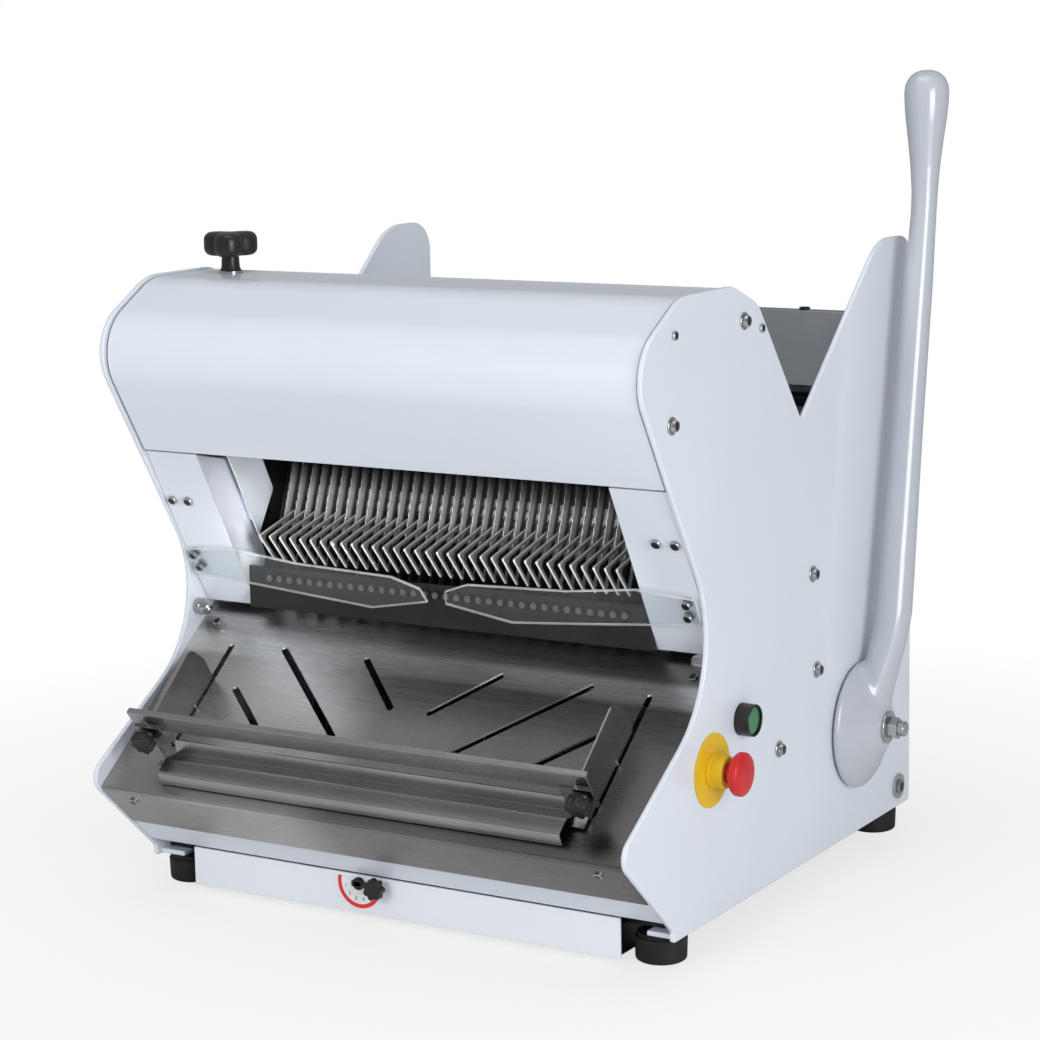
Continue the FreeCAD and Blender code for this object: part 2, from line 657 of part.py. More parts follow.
def lever_arm():
    """Round arm, swelling to the head of the grip."""
    grip = size.grip_radius
    arm_x = dome_x - 2
    stations = [(26, 20), (110, 18), (175, 17), (300, 15), (430, 14.5), (500, 12.5), (545, 15), (585, 19.5),
                (size.lever_height - grip, grip)]
    wires = []
    for height, radius in stations:
        y, z = lever_axis(height)
        wires.append(Part.Wire(Part.makeCircle(radius, Vector(arm_x, y, z), AXIS_Z)))
    shaft = Part.makeLoft(wires, True)
    y, z = lever_axis(size.lever_height - grip)
    return joined(shaft, Part.makeSphere(grip, Vector(arm_x, y, z)))


hub_profile = [(hub_x, 0), (hub_x, size.lever_hub_radius), (hub_x + 5, size.lever_hub_radius),
               (hub_x + 14, size.lever_hub_radius - 14), (dome_x - 4, 26), (dome_x, 18), (dome_x, 0)]
hub_wire = Part.makePolygon([Vector(a, size.pivot_y + r, size.pivot_z)
                             for a, r in hub_profile + hub_profile[:1]])
hub = Part.makeSolid(Part.Face(hub_wire).revolve(Vector(0, size.pivot_y, size.pivot_z), AXIS_X, 360))
if hub.Volume < 0:
    hub.reverse()
lever_bore = rod(size.shaft_radius, HALF, dome_x + 30, size.pivot_y, size.pivot_z)
node("feed_lever", hub.fuse(lever_arm()).cut(lever_bore))

shaft_length = "body_width + lever_hub_rise"
keep(bound_bar("lever_shaft_bar", "shaft_radius", shaft_length, "-body_width / 2", "pivot_y", "pivot_z"),
     "lever_shaft")
bolt_start = "body_width / 2 + 2 + lever_hub_rise"
bolt_parts = [bound_bar(f"lever_bolt_{i}", radius, length, f"{bolt_start} + {start}", "pivot_y", "pivot_z")
              for i, (radius, start, length) in enumerate([(16, 0, 3), (11, 3, 10), (8, 13, 7)])]
keep(fused("lever_bolt_set", *bolt_parts), "lever_bolt")

bush = rod(shaft_bore, INNER, HALF, size.pivot_y, size.pivot_z)
bush = joined(bush, rod(shaft_bore + 5, HALF, HALF + 1.6, size.pivot_y, size.pivot_z))
bush = bush.cut(rod(size.shaft_radius + size.running_fit, 0, HALF + 10, size.pivot_y, size.pivot_z))
node("lever_bushes", Part.makeCompound([bush, mirrored(bush)]))

arm_inner, arm_outer = 252, 260
pin_radius = 5
half_swing = math.radians(size.feed_swing / 2)
travel_factor = 1.05
half_travel = size.feed_radius * travel_factor * half_swing
rest_angle = half_swing - FLOOR
slot_near = size.feed_radius - 12
slot_far = size.feed_radius / math.cos(half_swing) + 6.5


def at_arm(out, across):
    """Along the feed arm at rest, and square to it."""
    return (size.pivot_y + out * math.sin(rest_angle) + across * math.cos(rest_angle),
            size.pivot_z + out * math.cos(rest_angle) - across * math.sin(rest_angle))


arm_plate = prism(mapped([(0, -22), (slot_far + 5, -15, 8), (slot_far + 5, 15, 8), (0, 22)], at_arm),
                  arm_inner, arm_outer)
arm_hub = rod(24, arm_inner - 8, arm_outer, size.pivot_y, size.pivot_z)
arm_slot = prism(mapped([(slot_near, -7, 6.9), (slot_far, -7, 6.9), (slot_far, 7, 6.9),
                         (slot_near, 7, 6.9)], at_arm),
                 arm_inner - 9, arm_outer + 1)
arm = joined(arm_plate, arm_hub).cut(arm_slot)
arm = arm.cut(rod(size.shaft_radius, 0, INNER, size.pivot_y, size.pivot_z))
node("feed_arms", Part.makeCompound([arm, mirrored(arm)]))

# ---------------------------------------------------------------- carriages, rails and pusher
rest = half_travel
reach_x = size.rail_reach
plate_inner, plate_outer = reach_x + 12, reach_x + 18
comb_along, comb_above = rest - 75.5, 165
cross_along = rest - 44.5
carriage_outline = [(rest - 12, -12, 6), (rest - 12, 28), (rest - 74, 32, 6), (rest - 74, 58),
                    (cross_along - 2, 72),
                    (cross_along - 2, comb_above + 12), (cross_along + 14, comb_above + 12),
                    (cross_along + 16, 70),
                    (rest + 10, 60, 6), (rest + 12, -12, 6)]
carriage_plate = prism(mapped(carriage_outline, at_rail), plate_inner, plate_outer)
bush_ends = [(rest - 72, rest - 46), (rest - 16, rest + 10)]
bush_blocks = [pin(13, rail_vector(reach_x, a, size.rail_rise), rail_vector(reach_x, b, size.rail_rise))
               for a, b in bush_ends]
carriage_pin = rod(pin_radius, arm_inner - 2, plate_inner, *at_rail(rest, 0))
rail_bore = pin(size.rail_radius + size.running_fit, rail_vector(reach_x, -400, size.rail_rise),
                rail_vector(reach_x, 400, size.rail_rise))
carriage = joined(carriage_plate, carriage_pin, *bush_blocks).cut(rail_bore)

rail_ends = (-half_travel - 92, half_travel + 40)
rail = pin(size.rail_radius, rail_vector(reach_x, rail_ends[0], size.rail_rise),
           rail_vector(reach_x, rail_ends[1], size.rail_rise))


def rail_bracket(start, end):
    outline = mapped([(start, size.rail_rise - 11), (start, size.rail_rise + 11), (end, size.rail_rise + 11),
                      (end, size.rail_rise - 11)], at_rail)
    return prism(outline, reach_x - 11, INNER).cut(rail)


rail_parts = [rail, rail_bracket(rail_ends[0], rail_ends[0] + 10),
              rail_bracket(rail_ends[1] - 10, rail_ends[1])]
node("carriage_rails", Part.makeCompound(rail_parts + [mirrored(item) for item in rail_parts]))



def comb_piece(along, x_start, x_end, length=10):
    """Flat bar of the pusher's comb."""
    outline = mapped([(along, comb_above), (along, comb_above + 10), (along + length, comb_above + 10),
                      (along + length, comb_above)], at_rail)
    return prism(outline, x_start, x_end)


chute_half = size.jamb_edge - 12
comb_bar = [comb_piece(comb_along, -chute_half - 5, chute_half + 5)]
for sign in (1, -1):
    comb_bar += [comb_piece(comb_along + 10, sign * (chute_half - 1), sign * (chute_half + 5),
                            rest - comb_along - 48),
                 comb_piece(cross_along, sign * (chute_half - 1), sign * plate_outer, 12)]
finger_outline = mapped([(comb_along - 35.5, 124.5), (comb_along, comb_above + 10, 2),
                         (comb_along + 10, comb_above + 10),
                         (comb_along + 10, comb_above), (comb_along - 29.5, 124.5)], at_rail)
fingers = [prism(finger_outline, x - 2, x + 2) for x in gap_xs]
node("pusher", joined(*comb_bar, *fingers, carriage, mirrored(carriage)))

# ---------------------------------------------------------------- drive
rocker_up, rocker_back = -150, 95
rocker = at_blade(rocker_up, rocker_back)
front_pin = at_blade(rocker_up, rocker_back - size.rocker_arm)
rear_pin = at_blade(rocker_up, rocker_back + size.rocker_arm)
fork_reach = size.rocker_arm * size.eccentric_throw / size.blade_stroke
eccentric = at_blade(rocker_up - fork_reach, rocker_back)
link_slot = pin_radius + 0.15


def drive_link(x_start, x_end, bar_low, pin_back):
    """Angle plate from a frame's lower bar down to its rocker pin; the pin runs in a short slot."""
    back = back_face + bar
    outline = mapped([(bar_low, back), (bar_low, pin_back - 9), (rocker_up - 9, pin_back - 9, 6),
                      (rocker_up - 9, pin_back + 9, 6), (bar_low + bar, pin_back + 9, 4),
                      (bar_low + bar, back)],
                     at_blade)
    slot = mapped([(rocker_up - link_slot, pin_back - 7.5, link_slot * 0.99),
                   (rocker_up - link_slot, pin_back + 7.5, link_slot * 0.99),
                   (rocker_up + link_slot, pin_back + 7.5, link_slot * 0.99),
                   (rocker_up + link_slot, pin_back - 7.5, link_slot * 0.99)], at_blade)
    return prism(outline, x_start, x_end).cut(prism(slot, x_start - 1, x_end + 1))


node("blade_frame_front", joined(front_frame, drive_link(-48, -40, low_near, rocker_back + size.rocker_arm)))
node("blade_frame_rear", joined(rear_frame, drive_link(40, 48, low_far, rocker_back - size.rocker_arm)))


def rocker_plate(x_start, x_end, toward):
    """Arm of the rocker along the square direction of the blades."""
    outline = mapped([(rocker_up - 9, rocker_back),
                      (rocker_up - 8, rocker_back + toward * (size.rocker_arm + 8), 4),
                      (rocker_up + 8, rocker_back + toward * (size.rocker_arm + 8), 4),
                      (rocker_up + 9, rocker_back)], at_blade)
    return prism(outline, x_start, x_end)


eccentric_radius = 16
window = eccentric_radius + 2 * size.eccentric_throw + 0.5
fork_outline = mapped([(rocker_up + 10, rocker_back - 14, 4), (rocker_up - 22, rocker_back - window - 8, 6),
                       (rocker_up - fork_reach - 18, rocker_back - window - 8, 3),
                       (rocker_up - fork_reach - 18, rocker_back - window),
                       (rocker_up - 24, rocker_back - window, 8), (rocker_up - 24, rocker_back + window, 8),
                       (rocker_up - fork_reach - 18, rocker_back + window),
                       (rocker_up - fork_reach - 18, rocker_back + window + 8, 3),
                       (rocker_up - 22, rocker_back + window + 8, 6),
                       (rocker_up + 10, rocker_back + 14, 4)], at_blade)
rocker_body = joined(rod(8, -96, 96, *rocker), rod(13, -66, 66, *rocker),
                     rocker_plate(52, 60, -1), rocker_plate(-60, -52, 1), prism(fork_outline, -7, 7),
                     rod(pin_radius, 38, 54, *front_pin), rod(pin_radius, -54, -38, *rear_pin))
node("rocker", rocker_body)


def pedestal(x_start, x_end, axis, bore, front, back):
    """Bearing block on the base plate."""
    y, z = axis
    column = block(x_start, x_end, front, back, plate_top, z)
    boss = rod(bore + 8, x_start, x_end, y, z)
    return joined(column, boss).cut(rod(bore + size.running_fit, x_start - 1, x_end + 1, y, z))


rocker_posts = [pedestal(x, x + 14, rocker, 8, rocker[0] - 4, rocker[0] + 22) for x in (72, -86)]
shaft_posts = [pedestal(x, x + 14, eccentric, 9, eccentric[0] - 24, eccentric[0] + 4) for x in (104, -118)]
node("drive_bearings", Part.makeCompound(rocker_posts + shaft_posts))

belt_x, belt_width = -150, 18
eccentric_disc = rod(eccentric_radius, -9, 9, eccentric[0] + size.eccentric_throw, eccentric[1])
node("eccentric_shaft", joined(rod(9, belt_x - 14, 124, *eccentric), eccentric_disc))
pulley_half = belt_width / 2


def pulley(name, radius, y, z):
    """Flanged belt pulley as one union of bars."""
    rings = [(radius, -pulley_half, belt_width), (f"{radius} + 4", -pulley_half - 3, 3),
             (f"{radius} + 4", pulley_half, 3)]
    return [bound_bar(f"{name}_{i}", out, width, belt_x + start, y, z)
            for i, (out, start, width) in enumerate(rings)]


wheel = fused("drive_pulley_set", *pulley("drive_pulley", "drive_pulley_radius", *eccentric))
wheel_bore = bound_bar("drive_pulley_bore", 9, 80, belt_x - 40, *eccentric)
keep(bored("drive_pulley_cut", wheel, wheel_bore), "drive_pulley")

motor_at = (size.motor_y, size.motor_z)
motor_start = -70
motor_body = joined(rod(size.motor_radius, motor_start, 140, *motor_at), rod(42, 140, 162, *motor_at),
                    block(-20, 20, size.motor_y - 30, size.motor_y + 30, size.motor_z + 30, size.motor_z + 68))
mount_base = block(motor_start + 10, 130, size.motor_y - 45, size.motor_y + 45, plate_top, plate_top + 6)
mount_webs = [block(x, x + 6, size.motor_y - 40, size.motor_y + 40, plate_top + 6, size.motor_z - 12)
              for x in (motor_start + 20, 114)]
node("motor", joined(motor_body, mount_base, *mount_webs))
motor_neck = bound_bar("motor_neck", 9, motor_start - belt_x - pulley_half - 3, belt_x + pulley_half + 3,
                       *motor_at)
keep(fused("motor_pulley_set", *pulley("motor_pulley", "motor_pulley_radius", *motor_at), motor_neck),
     "motor_pulley")


def belt_loop(extra):
    """Region inside the belt: both pulleys, grown by extra, and the span between them."""
    first, second = Vector(0, *eccentric), Vector(0, *motor_at)
    big, small = size.drive_pulley_radius + extra, size.motor_pulley_radius + extra
    run = second - first
    tilt = math.asin((big - small) / run.Length)
    heading = math.atan2(run.z, run.y)
    corners = []
    for sign in (1, -1):
        out = heading + sign * (math.pi / 2 - tilt)
        normal = Vector(0, math.cos(out), math.sin(out))
        corners.append((first + normal * big, second + normal * small))
    (a, b), (c, e) = corners
    away = run.normalize()
    back = first - away * big
    front = second + away * small
    edges = [Part.LineSegment(a, b).toShape(), Part.Arc(b, front, e).toShape(),
             Part.LineSegment(e, c).toShape(), Part.Arc(c, back, a).toShape()]
    face = Part.Face(Part.Wire(Part.__sortEdges__(edges)))
    return face.extrude(AXIS_X * (belt_width - 1)).translated(Vector(belt_x - pulley_half + 0.5, 0, 0))


node("drive_belt", belt_loop(3.6).cut(belt_loop(0.1)))

# ---------------------------------------------------------------- crumb drawer and its dial
drawer_top = size.drawer_bottom + size.drawer_front_height
bin_half = size.drawer_half - 8
drawer_face = bound_box("drawer_face", "-drawer_half", -3, "drawer_bottom", "2 * drawer_half", 3,
                        "drawer_front_height")
bin_box = bound_box("drawer_bin", "8 - drawer_half", 0, "drawer_bottom + 2", "2 * drawer_half - 16",
                    "drawer_depth", "panel_bottom + panel_thick - drawer_bottom - 6")
bin_hollow = bound_box("drawer_hollow", "9.5 - drawer_half", 1.5, "drawer_bottom + 3.5", "2 * drawer_half - 19",
                       "drawer_depth - 3", "panel_bottom")
keep(fused("drawer_set", drawer_face, bored("drawer_shell", bin_box, bin_hollow)), "crumb_drawer")
runner_gap = 0.3
runner_x = bin_half + runner_gap
runner = joined(block(runner_x, runner_x + 2, 8, size.drawer_depth + 10, size.drawer_bottom + 1 - runner_gap,
                      plate_bottom),
                block(bin_half - 8, runner_x + 2, 8, size.drawer_depth + 10, size.drawer_bottom - 1,
                      size.drawer_bottom + 2 - runner_gap))
node("drawer_runners", Part.makeCompound([runner, mirrored(runner)]))

dial_x, dial_z = -42, drawer_top - 8
dial_front = -4.2
dial_disc = Part.makeCylinder(size.dial_radius, 1.2, Vector(dial_x, -3, dial_z), Vector(0, -1, 0))
dial_keep = block(dial_x - 40, dial_x + 40, -10, 0, drawer_top - 40, dial_z + 5)
node("dial_plate", dial_disc.common(dial_keep))
hub_end = dial_front - 4
pointer_reach = 23
pointer_hub = Part.makeCylinder(6, -hub_end + dial_front, Vector(dial_x, dial_front, dial_z), Vector(0, -1, 0))
pointer_arm = block(dial_x - 7, dial_x + pointer_reach + 3, hub_end, dial_front - 1.5, dial_z - 3, dial_z + 3)


def star_knob(centre, axis, radius, lobes, depth, stem_radius, stem):
    """Lobed grip with a round stem; centre is the seat of the stem."""
    turn = FreeCAD.Rotation(AXIS_Z, axis)
    core = Part.makeCylinder(radius * 0.78, depth, Vector(0, 0, stem))
    parts = [core]
    for k in range(lobes):
        angle = 2 * math.pi * k / lobes
        place = Vector(math.cos(angle), math.sin(angle), 0) * (radius * 0.72)
        parts.append(Part.makeCylinder(radius * 0.28, depth, place + Vector(0, 0, stem)))
    grip = joined(*parts, Part.makeCylinder(stem_radius, stem, Vector()))
    grip.Placement = FreeCAD.Placement(centre, turn)
    return grip


dial_knob = star_knob(Vector(dial_x + pointer_reach, dial_front - 3.5, dial_z), Vector(0, -1, 0), 10.5, 7,
                      9, 5, 2)
node("dial_pointer", joined(pointer_hub, pointer_arm, dial_knob))

# ---------------------------------------------------------------- loaf stop on the tray
place = size.stop_bar_place
fin_x = size.stop_fin_x
fin_outline = mapped([(place - 4, 1), (place + 95, 1), (place + 98, 26, 16), (place + 90, 50, 10),
                      (place - 4, 44)], at_tray)
fin = prism(fin_outline, fin_x - 1, fin_x + 1)
tab = prism(mapped([(place - 4, 22), (place - 2, 22), (place - 2, 44), (place - 4, 44)], at_tray),
            fin_x - 16, fin_x + 16)
fin_feet = [pin(2.5, tray_vector(fin_x, place + a, -4), tray_vector(fin_x, place + a, 6)) for a in (12, 58)]
channel_path = [(place - 34, 1), (place - 31, 12, 2), (place - 15, 12.5, 2), (place, 3, 2), (place + 7, 16)]
channel = prism(mapped(strip(channel_path, 1.5), at_tray), -fin_x + 14, fin_x - 14)
bridge = prism(mapped([(place - 16, 2.5), (place + 6, 2.5), (place + 6, 4.5), (place - 16, 4.5)], at_tray),
               fin_x - 16, fin_x)
right_side = joined(fin, tab, bridge, *fin_feet)
node("loaf_stop_frame", joined(channel, right_side, mirrored(right_side)))

ear = 22
bar_path = [(place - 1.8, 40), (place - 1.8, 62, 1), (place + 4, 62)]
stop_bar = prism(mapped(strip(bar_path, -1.6), at_tray), -fin_x - 16, fin_x + 16)
ear_plate = prism(mapped([(place - 1.8, 22), (place - 0.2, 22), (place - 0.2, 41), (place - 1.8, 41)], at_tray),
                  fin_x + 2, fin_x + 16)
ear_inner = prism(mapped([(place - 1.8, 22), (place - 0.2, 22), (place - 0.2, 41), (place - 1.8, 41)], at_tray),
                  fin_x - 16, fin_x - 2)
fin_notch = prism(mapped([(place - 3, 38), (place + 1, 38), (place + 1, 51), (place - 3, 51)], at_tray),
                  fin_x - 1.6, fin_x + 1.6)
stop_bar = joined(stop_bar, ear_plate, ear_inner, mirrored(ear_plate), mirrored(ear_inner))
node("loaf_stop_bar", stop_bar.cut(fin_notch).cut(mirrored(fin_notch)))
down_tray = tray_vector(0, -1, 0) - tray_vector(0, 0, 0)
knob_seat = tray_vector(fin_x + 4, place - 4, 33)
stop_knob = star_knob(knob_seat, down_tray, 12, 7, 11, 6, 4)
sides("stop_knob", stop_knob)

# ---------------------------------------------------------------- hood knob
hood_surface = size.panel_top - size.hood_inset
knob_foot = Vector(size.knob_x, size.knob_y, hood_surface)
knob_washer = Part.makeCylinder(12, 2, knob_foot, AXIS_Z)
knob_stem = Part.makeCylinder(9, 14, knob_foot + AXIS_Z * 2)
wing_height = 22
wings = [Part.makeCylinder(14, wing_height, knob_foot + AXIS_Z * 16)]
for k in range(3):
    angle = math.radians(1 + 120 * k)
    wings.append(Part.makeCylinder(10, wing_height,
                                   knob_foot + Vector(18 * math.cos(angle), 18 * math.sin(angle), 16)))
node("hood_knob", joined(knob_washer, knob_stem, *wings))

# ---------------------------------------------------------------- controls on the right panel
bezel = bound_bar("bezel_ring", "button_radius", 15, "body_width / 2", "button_y", "button_z")
bezel_bore = bound_bar("bezel_bore", "button_radius - 1.6", 16, "body_width / 2 + 4", "button_y", "button_z")
keep(bored("bezel", bezel, bezel_bore), "start_button_bezel")
keep(bound_bar("button_cap", "button_radius - 1.9", 5.5, "body_width / 2 + 8", "button_y", "button_z"),
     "start_button_cap")
stop_plate = bound_bar("stop_plate", "stop_plate_radius", 1.5, "body_width / 2", "stop_y", "stop_z")
stop_ring = bound_bar("stop_ring", 15.5, 15.5, "body_width / 2 + 1.5", "stop_y", "stop_z")
stop_bore = bound_bar("stop_bore", 9.3, 14, "body_width / 2 + 6", "stop_y", "stop_z")
keep(fused("stop_base_set", stop_plate, bored("stop_collar", stop_ring, stop_bore)), "stop_base")

stop_neck = 12.3
stop_profile = [(stop_neck, 0), (stop_neck, 9), (23, 9), (23, 15), (27, size.stop_head_radius),
                (32, size.stop_head_radius), (34.5, size.stop_head_radius - 4), (36, 8), (36, 0)]
head_body = doc.addObject("PartDesign::Body", "stop_head_body")
turned = head_body.newObject("PartDesign::Revolution", "stop_head_turned")
head_curves = rounded([(along, out) for along, out in stop_profile])
head_sketch = sketch_on(head_body, "XY_Plane", "stop_head_profile", head_curves)
turned.Profile = head_sketch
turned.ReferenceAxis = (head_sketch, ["H_Axis"])
turned.Angle = 360
head_body.Tip = turned
bind(head_body, Placement__Base__x="body_width / 2", Placement__Base__y="stop_y", Placement__Base__z="stop_z")
keep(head_body, "stop_head")
node("switch_blocks", Part.makeCompound([
    block(INNER - 42, INNER, size.stop_y - 15, size.stop_y + 15, size.stop_z - 15, size.stop_z + 15),
    block(INNER - 38, INNER, size.button_y - 13, size.button_y + 13, size.button_z - 13, size.button_z + 13)]))

small_heads = [(9, 564), (177, 553)]
large_heads = [(3, 487), (142, 563), (286, 307), (295, 212), (212, 153)]
cup_heads = [(491, plate_top + 14)]
panel_heads = []
for y, z in small_heads:
    panel_heads.append(rod(4, HALF, HALF + 3, y, z))
for y, z in large_heads:
    panel_heads.append(joined(rod(8, HALF, HALF + 1.5, y, z), rod(5.5, HALF + 1.5, HALF + 6, y, z)))
for y, z in cup_heads:
    panel_heads.append(joined(rod(13, HALF, HALF + 3, y, z), rod(8, HALF + 3, HALF + 5, y, z)))
node("panel_screws", Part.makeCompound(panel_heads + [mirrored(item) for item in panel_heads]))

# ---------------------------------------------------------------- electrical box and gland
keep(bound_box("control_box", -235, "panel_depth - 88", 60, 140, 78.4, 130), "electrical_box")
gland_at = Vector(-200, cover_back, 70)
gland = joined(Part.makeCylinder(11, 4, gland_at, AXIS_Y), Part.makeCylinder(8, 14, gland_at, AXIS_Y))
node("cable_gland", gland.cut(Part.makeCylinder(4, 30, gland_at - AXIS_Y, AXIS_Y)))

# ---------------------------------------------------------------- checks and export
doc.recompute()
for item in doc.Objects:
    if "Invalid" in item.State or "Error" in item.State:
        raise RuntimeError(f"{item.Name} failed: {item.State}")
labels = [part.Label for part in nodes]
if len(set(labels)) != len(labels):
    raise RuntimeError("two sub-parts share a label")
shift = Vector(-size.origin_x, -size.origin_y, 0)
os.makedirs("parts", exist_ok=True)
for part in nodes:
    shape = part.Shape.copy()
    if shape.isNull() or not shape.isValid() or not shape.Solids:
        raise RuntimeError(f"{part.Label} has no valid solid")
    shape.translate(shift)
    shape.exportStep(f"parts/{part.Label}.step")
print(len(nodes), "parts written")
whole = Part.makeCompound([part.Shape for part in nodes]).BoundBox
print("X", round(whole.XMin, 1), round(whole.XMax, 1), "Y", round(whole.YMin, 1), round(whole.YMax, 1),
      "Z", round(whole.ZMin, 1), round(whole.ZMax, 1))
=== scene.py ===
# %% [markdown]
# # Bench bread slicer with a feed lever
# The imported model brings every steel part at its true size, already grouped into bodies that move. This
# lesson dresses it: folded sheets get soft edges, turned and moulded parts are modelled again with more
# shape, and every surface gets a finish with its own grain, sheen and small marks.

# %% Load the frame
import json
import math
import bmesh
import bpy
from mathutils import Matrix, Vector


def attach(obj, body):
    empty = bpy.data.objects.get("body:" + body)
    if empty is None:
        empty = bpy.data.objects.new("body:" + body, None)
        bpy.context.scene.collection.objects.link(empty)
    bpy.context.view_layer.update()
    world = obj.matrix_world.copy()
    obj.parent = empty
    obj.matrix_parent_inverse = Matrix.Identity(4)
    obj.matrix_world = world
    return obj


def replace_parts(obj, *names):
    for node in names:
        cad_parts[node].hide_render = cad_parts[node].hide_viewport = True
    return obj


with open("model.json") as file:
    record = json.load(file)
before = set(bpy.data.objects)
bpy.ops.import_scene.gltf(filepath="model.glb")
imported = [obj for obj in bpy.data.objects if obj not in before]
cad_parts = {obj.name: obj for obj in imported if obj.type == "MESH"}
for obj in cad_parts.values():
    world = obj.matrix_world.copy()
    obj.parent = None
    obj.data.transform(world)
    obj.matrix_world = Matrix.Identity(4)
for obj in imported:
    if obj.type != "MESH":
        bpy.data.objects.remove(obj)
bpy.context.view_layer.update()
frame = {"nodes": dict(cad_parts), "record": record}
nodes = frame["nodes"]
bodies = frame["record"]["behaviour"]["bodies"]
body_of = {node: body for body, members in bodies.items() for node in members}
print("nodes:", len(nodes), "bodies:", len(bodies))

# %% [markdown]
# ## Places
# Makers measure a machine from its own corners. Here X counts from the middle of the body, Y from the
# front corner of the side panels and Z from the floor, in millimetres. One helper turns such a place
# into the frame's metres, so that each later number can be read like a drawing. The tray and the jamb
# plates slope, so each has a helper of its own, which gives a point on the slope or a little above it.

# %% Places in the machine's own millimetres
ORIGIN = (24, 222)                   # the frame's origin, as X and Y of the machine
SIDE = 290                           # outer face of a side panel, from the middle
LEAN = math.radians(20)              # lean of the blades
SLOPE = math.radians(37.74)          # slope of the tray
TRAY_FOLD = (-83, 115)               # Y and Z of the tray's front fold
JAMB_SLOPE = 90 / 166                # how far a jamb plate goes back for each millimetre down
JAMB_OUT = Vector((0, -1, -JAMB_SLOPE)).normalized()


def at(x, y, z):
    """A place of the machine, in the frame's metres."""
    return Vector(((x - ORIGIN[0]) / 1000, (y - ORIGIN[1]) / 1000, z / 1000))


def on_tray(x, along, above):
    """Up the tray from its front fold, and above its surface."""
    return at(x, TRAY_FOLD[0] + along * math.cos(SLOPE) - above * math.sin(SLOPE),
              TRAY_FOLD[1] + along * math.sin(SLOPE) + above * math.cos(SLOPE))


def on_jamb(x, z, out=0.0):
    """On the front face of a jamb plate, or out in front of it."""
    return at(x, 8 + (428 - z) * JAMB_SLOPE, z) + JAMB_OUT * out / 1000


MIDDLE = at(0, 0, 0).x
print("lever side at", [round(v, 3) for v in at(SIDE, 0, 0)])

# %% [markdown]
# ## Node helpers
# A finish is a small network of nodes. Object coordinates are in metres, so a scale of 400 makes
# features of about two millimetres whatever the piece. Noise drives roughness and bump; colour moves
# only a little, as it does on real paint and steel.

# %% Noise, colour and bump
def new_finish(name, colour, rough, **sockets):
    """A material, its node tree and its main shader; further sockets are set by name."""
    finish = bpy.data.materials.new(name)
    finish.use_nodes = True
    shader = finish.node_tree.nodes["Principled BSDF"]
    shader.inputs["Base Color"].default_value = (*colour, 1)
    shader.inputs["Roughness"].default_value = rough
    for socket, value in sockets.items():
        shader.inputs[socket.replace("_", " ")].default_value = value
    return finish, finish.node_tree, shader


def noise(tree, scale, detail=4, stretch=(1, 1, 1)):
    """Noise on Object coordinates, stretched where a tool has left lines."""
    place = tree.nodes.new("ShaderNodeTexCoord")
    mapping = tree.nodes.new("ShaderNodeMapping")
    mapping.inputs["Scale"].default_value = stretch
    pattern = tree.nodes.new("ShaderNodeTexNoise")
    pattern.inputs["Scale"].default_value = scale
    pattern.inputs["Detail"].default_value = detail
    tree.links.new(place.outputs["Object"], mapping.inputs["Vector"])
    tree.links.new(mapping.outputs["Vector"], pattern.inputs["Vector"])
    return pattern.outputs["Fac"]


def spread(tree, source, low, high):
    """Noise moved into the range from low to high."""
    span = tree.nodes.new("ShaderNodeMapRange")
    span.inputs["From Min"].default_value = 0.3
    span.inputs["From Max"].default_value = 0.7
    span.inputs["To Min"].default_value = low
    span.inputs["To Max"].default_value = high
    tree.links.new(source, span.inputs["Value"])
    return span.outputs["Result"]


def tint(tree, shader, source, dark, light):
    """Base colour that moves between two close colours."""
    ramp = tree.nodes.new("ShaderNodeValToRGB")
    ramp.color_ramp.elements[0].position = 0.3
    ramp.color_ramp.elements[1].position = 0.7
    ramp.color_ramp.elements[0].color = (*dark, 1)
    ramp.color_ramp.elements[1].color = (*light, 1)
    tree.links.new(source, ramp.inputs["Fac"])
    tree.links.new(ramp.outputs["Color"], shader.inputs["Base Color"])


def relief(tree, shader, source, depth, strength=1.0):
    """Bump whose depth is in metres."""
    bump = tree.nodes.new("ShaderNodeBump")
    bump.inputs["Distance"].default_value = depth
    bump.inputs["Strength"].default_value = strength
    tree.links.new(source, bump.inputs["Height"])
    tree.links.new(bump.outputs["Normal"], shader.inputs["Normal"])
    return bump


print("helpers ready:", new_finish.__name__, noise.__name__, spread.__name__, tint.__name__, relief.__name__)

# %% [markdown]
# ## Light and dark across a piece
# Bare steel mirrors what stands around it, and a plain studio holds little to mirror. So some light and
# shade is written into the colour instead, and it stays where it is when the lamps or the view change.
# One coordinate of a surface point, or of its normal, goes through a color ramp, and the ramp multiplies
# the colour that is already linked. A second helper lays one soft pale band over the colour instead,
# because multiplying can't make a dull place brighter than its neighbour.

# %% Fades and bands
def object_axis(tree, output, axis, turn=0.0):
    """One number out of the Object place or the Normal of a surface point, turned about X."""
    place = tree.nodes.new("ShaderNodeTexCoord")
    mapping = tree.nodes.new("ShaderNodeMapping")
    mapping.inputs["Rotation"].default_value = (turn, 0, 0)
    split = tree.nodes.new("ShaderNodeSeparateXYZ")
    tree.links.new(place.outputs[output], mapping.inputs["Vector"])
    tree.links.new(mapping.outputs["Vector"], split.inputs[0])
    return split.outputs[axis]


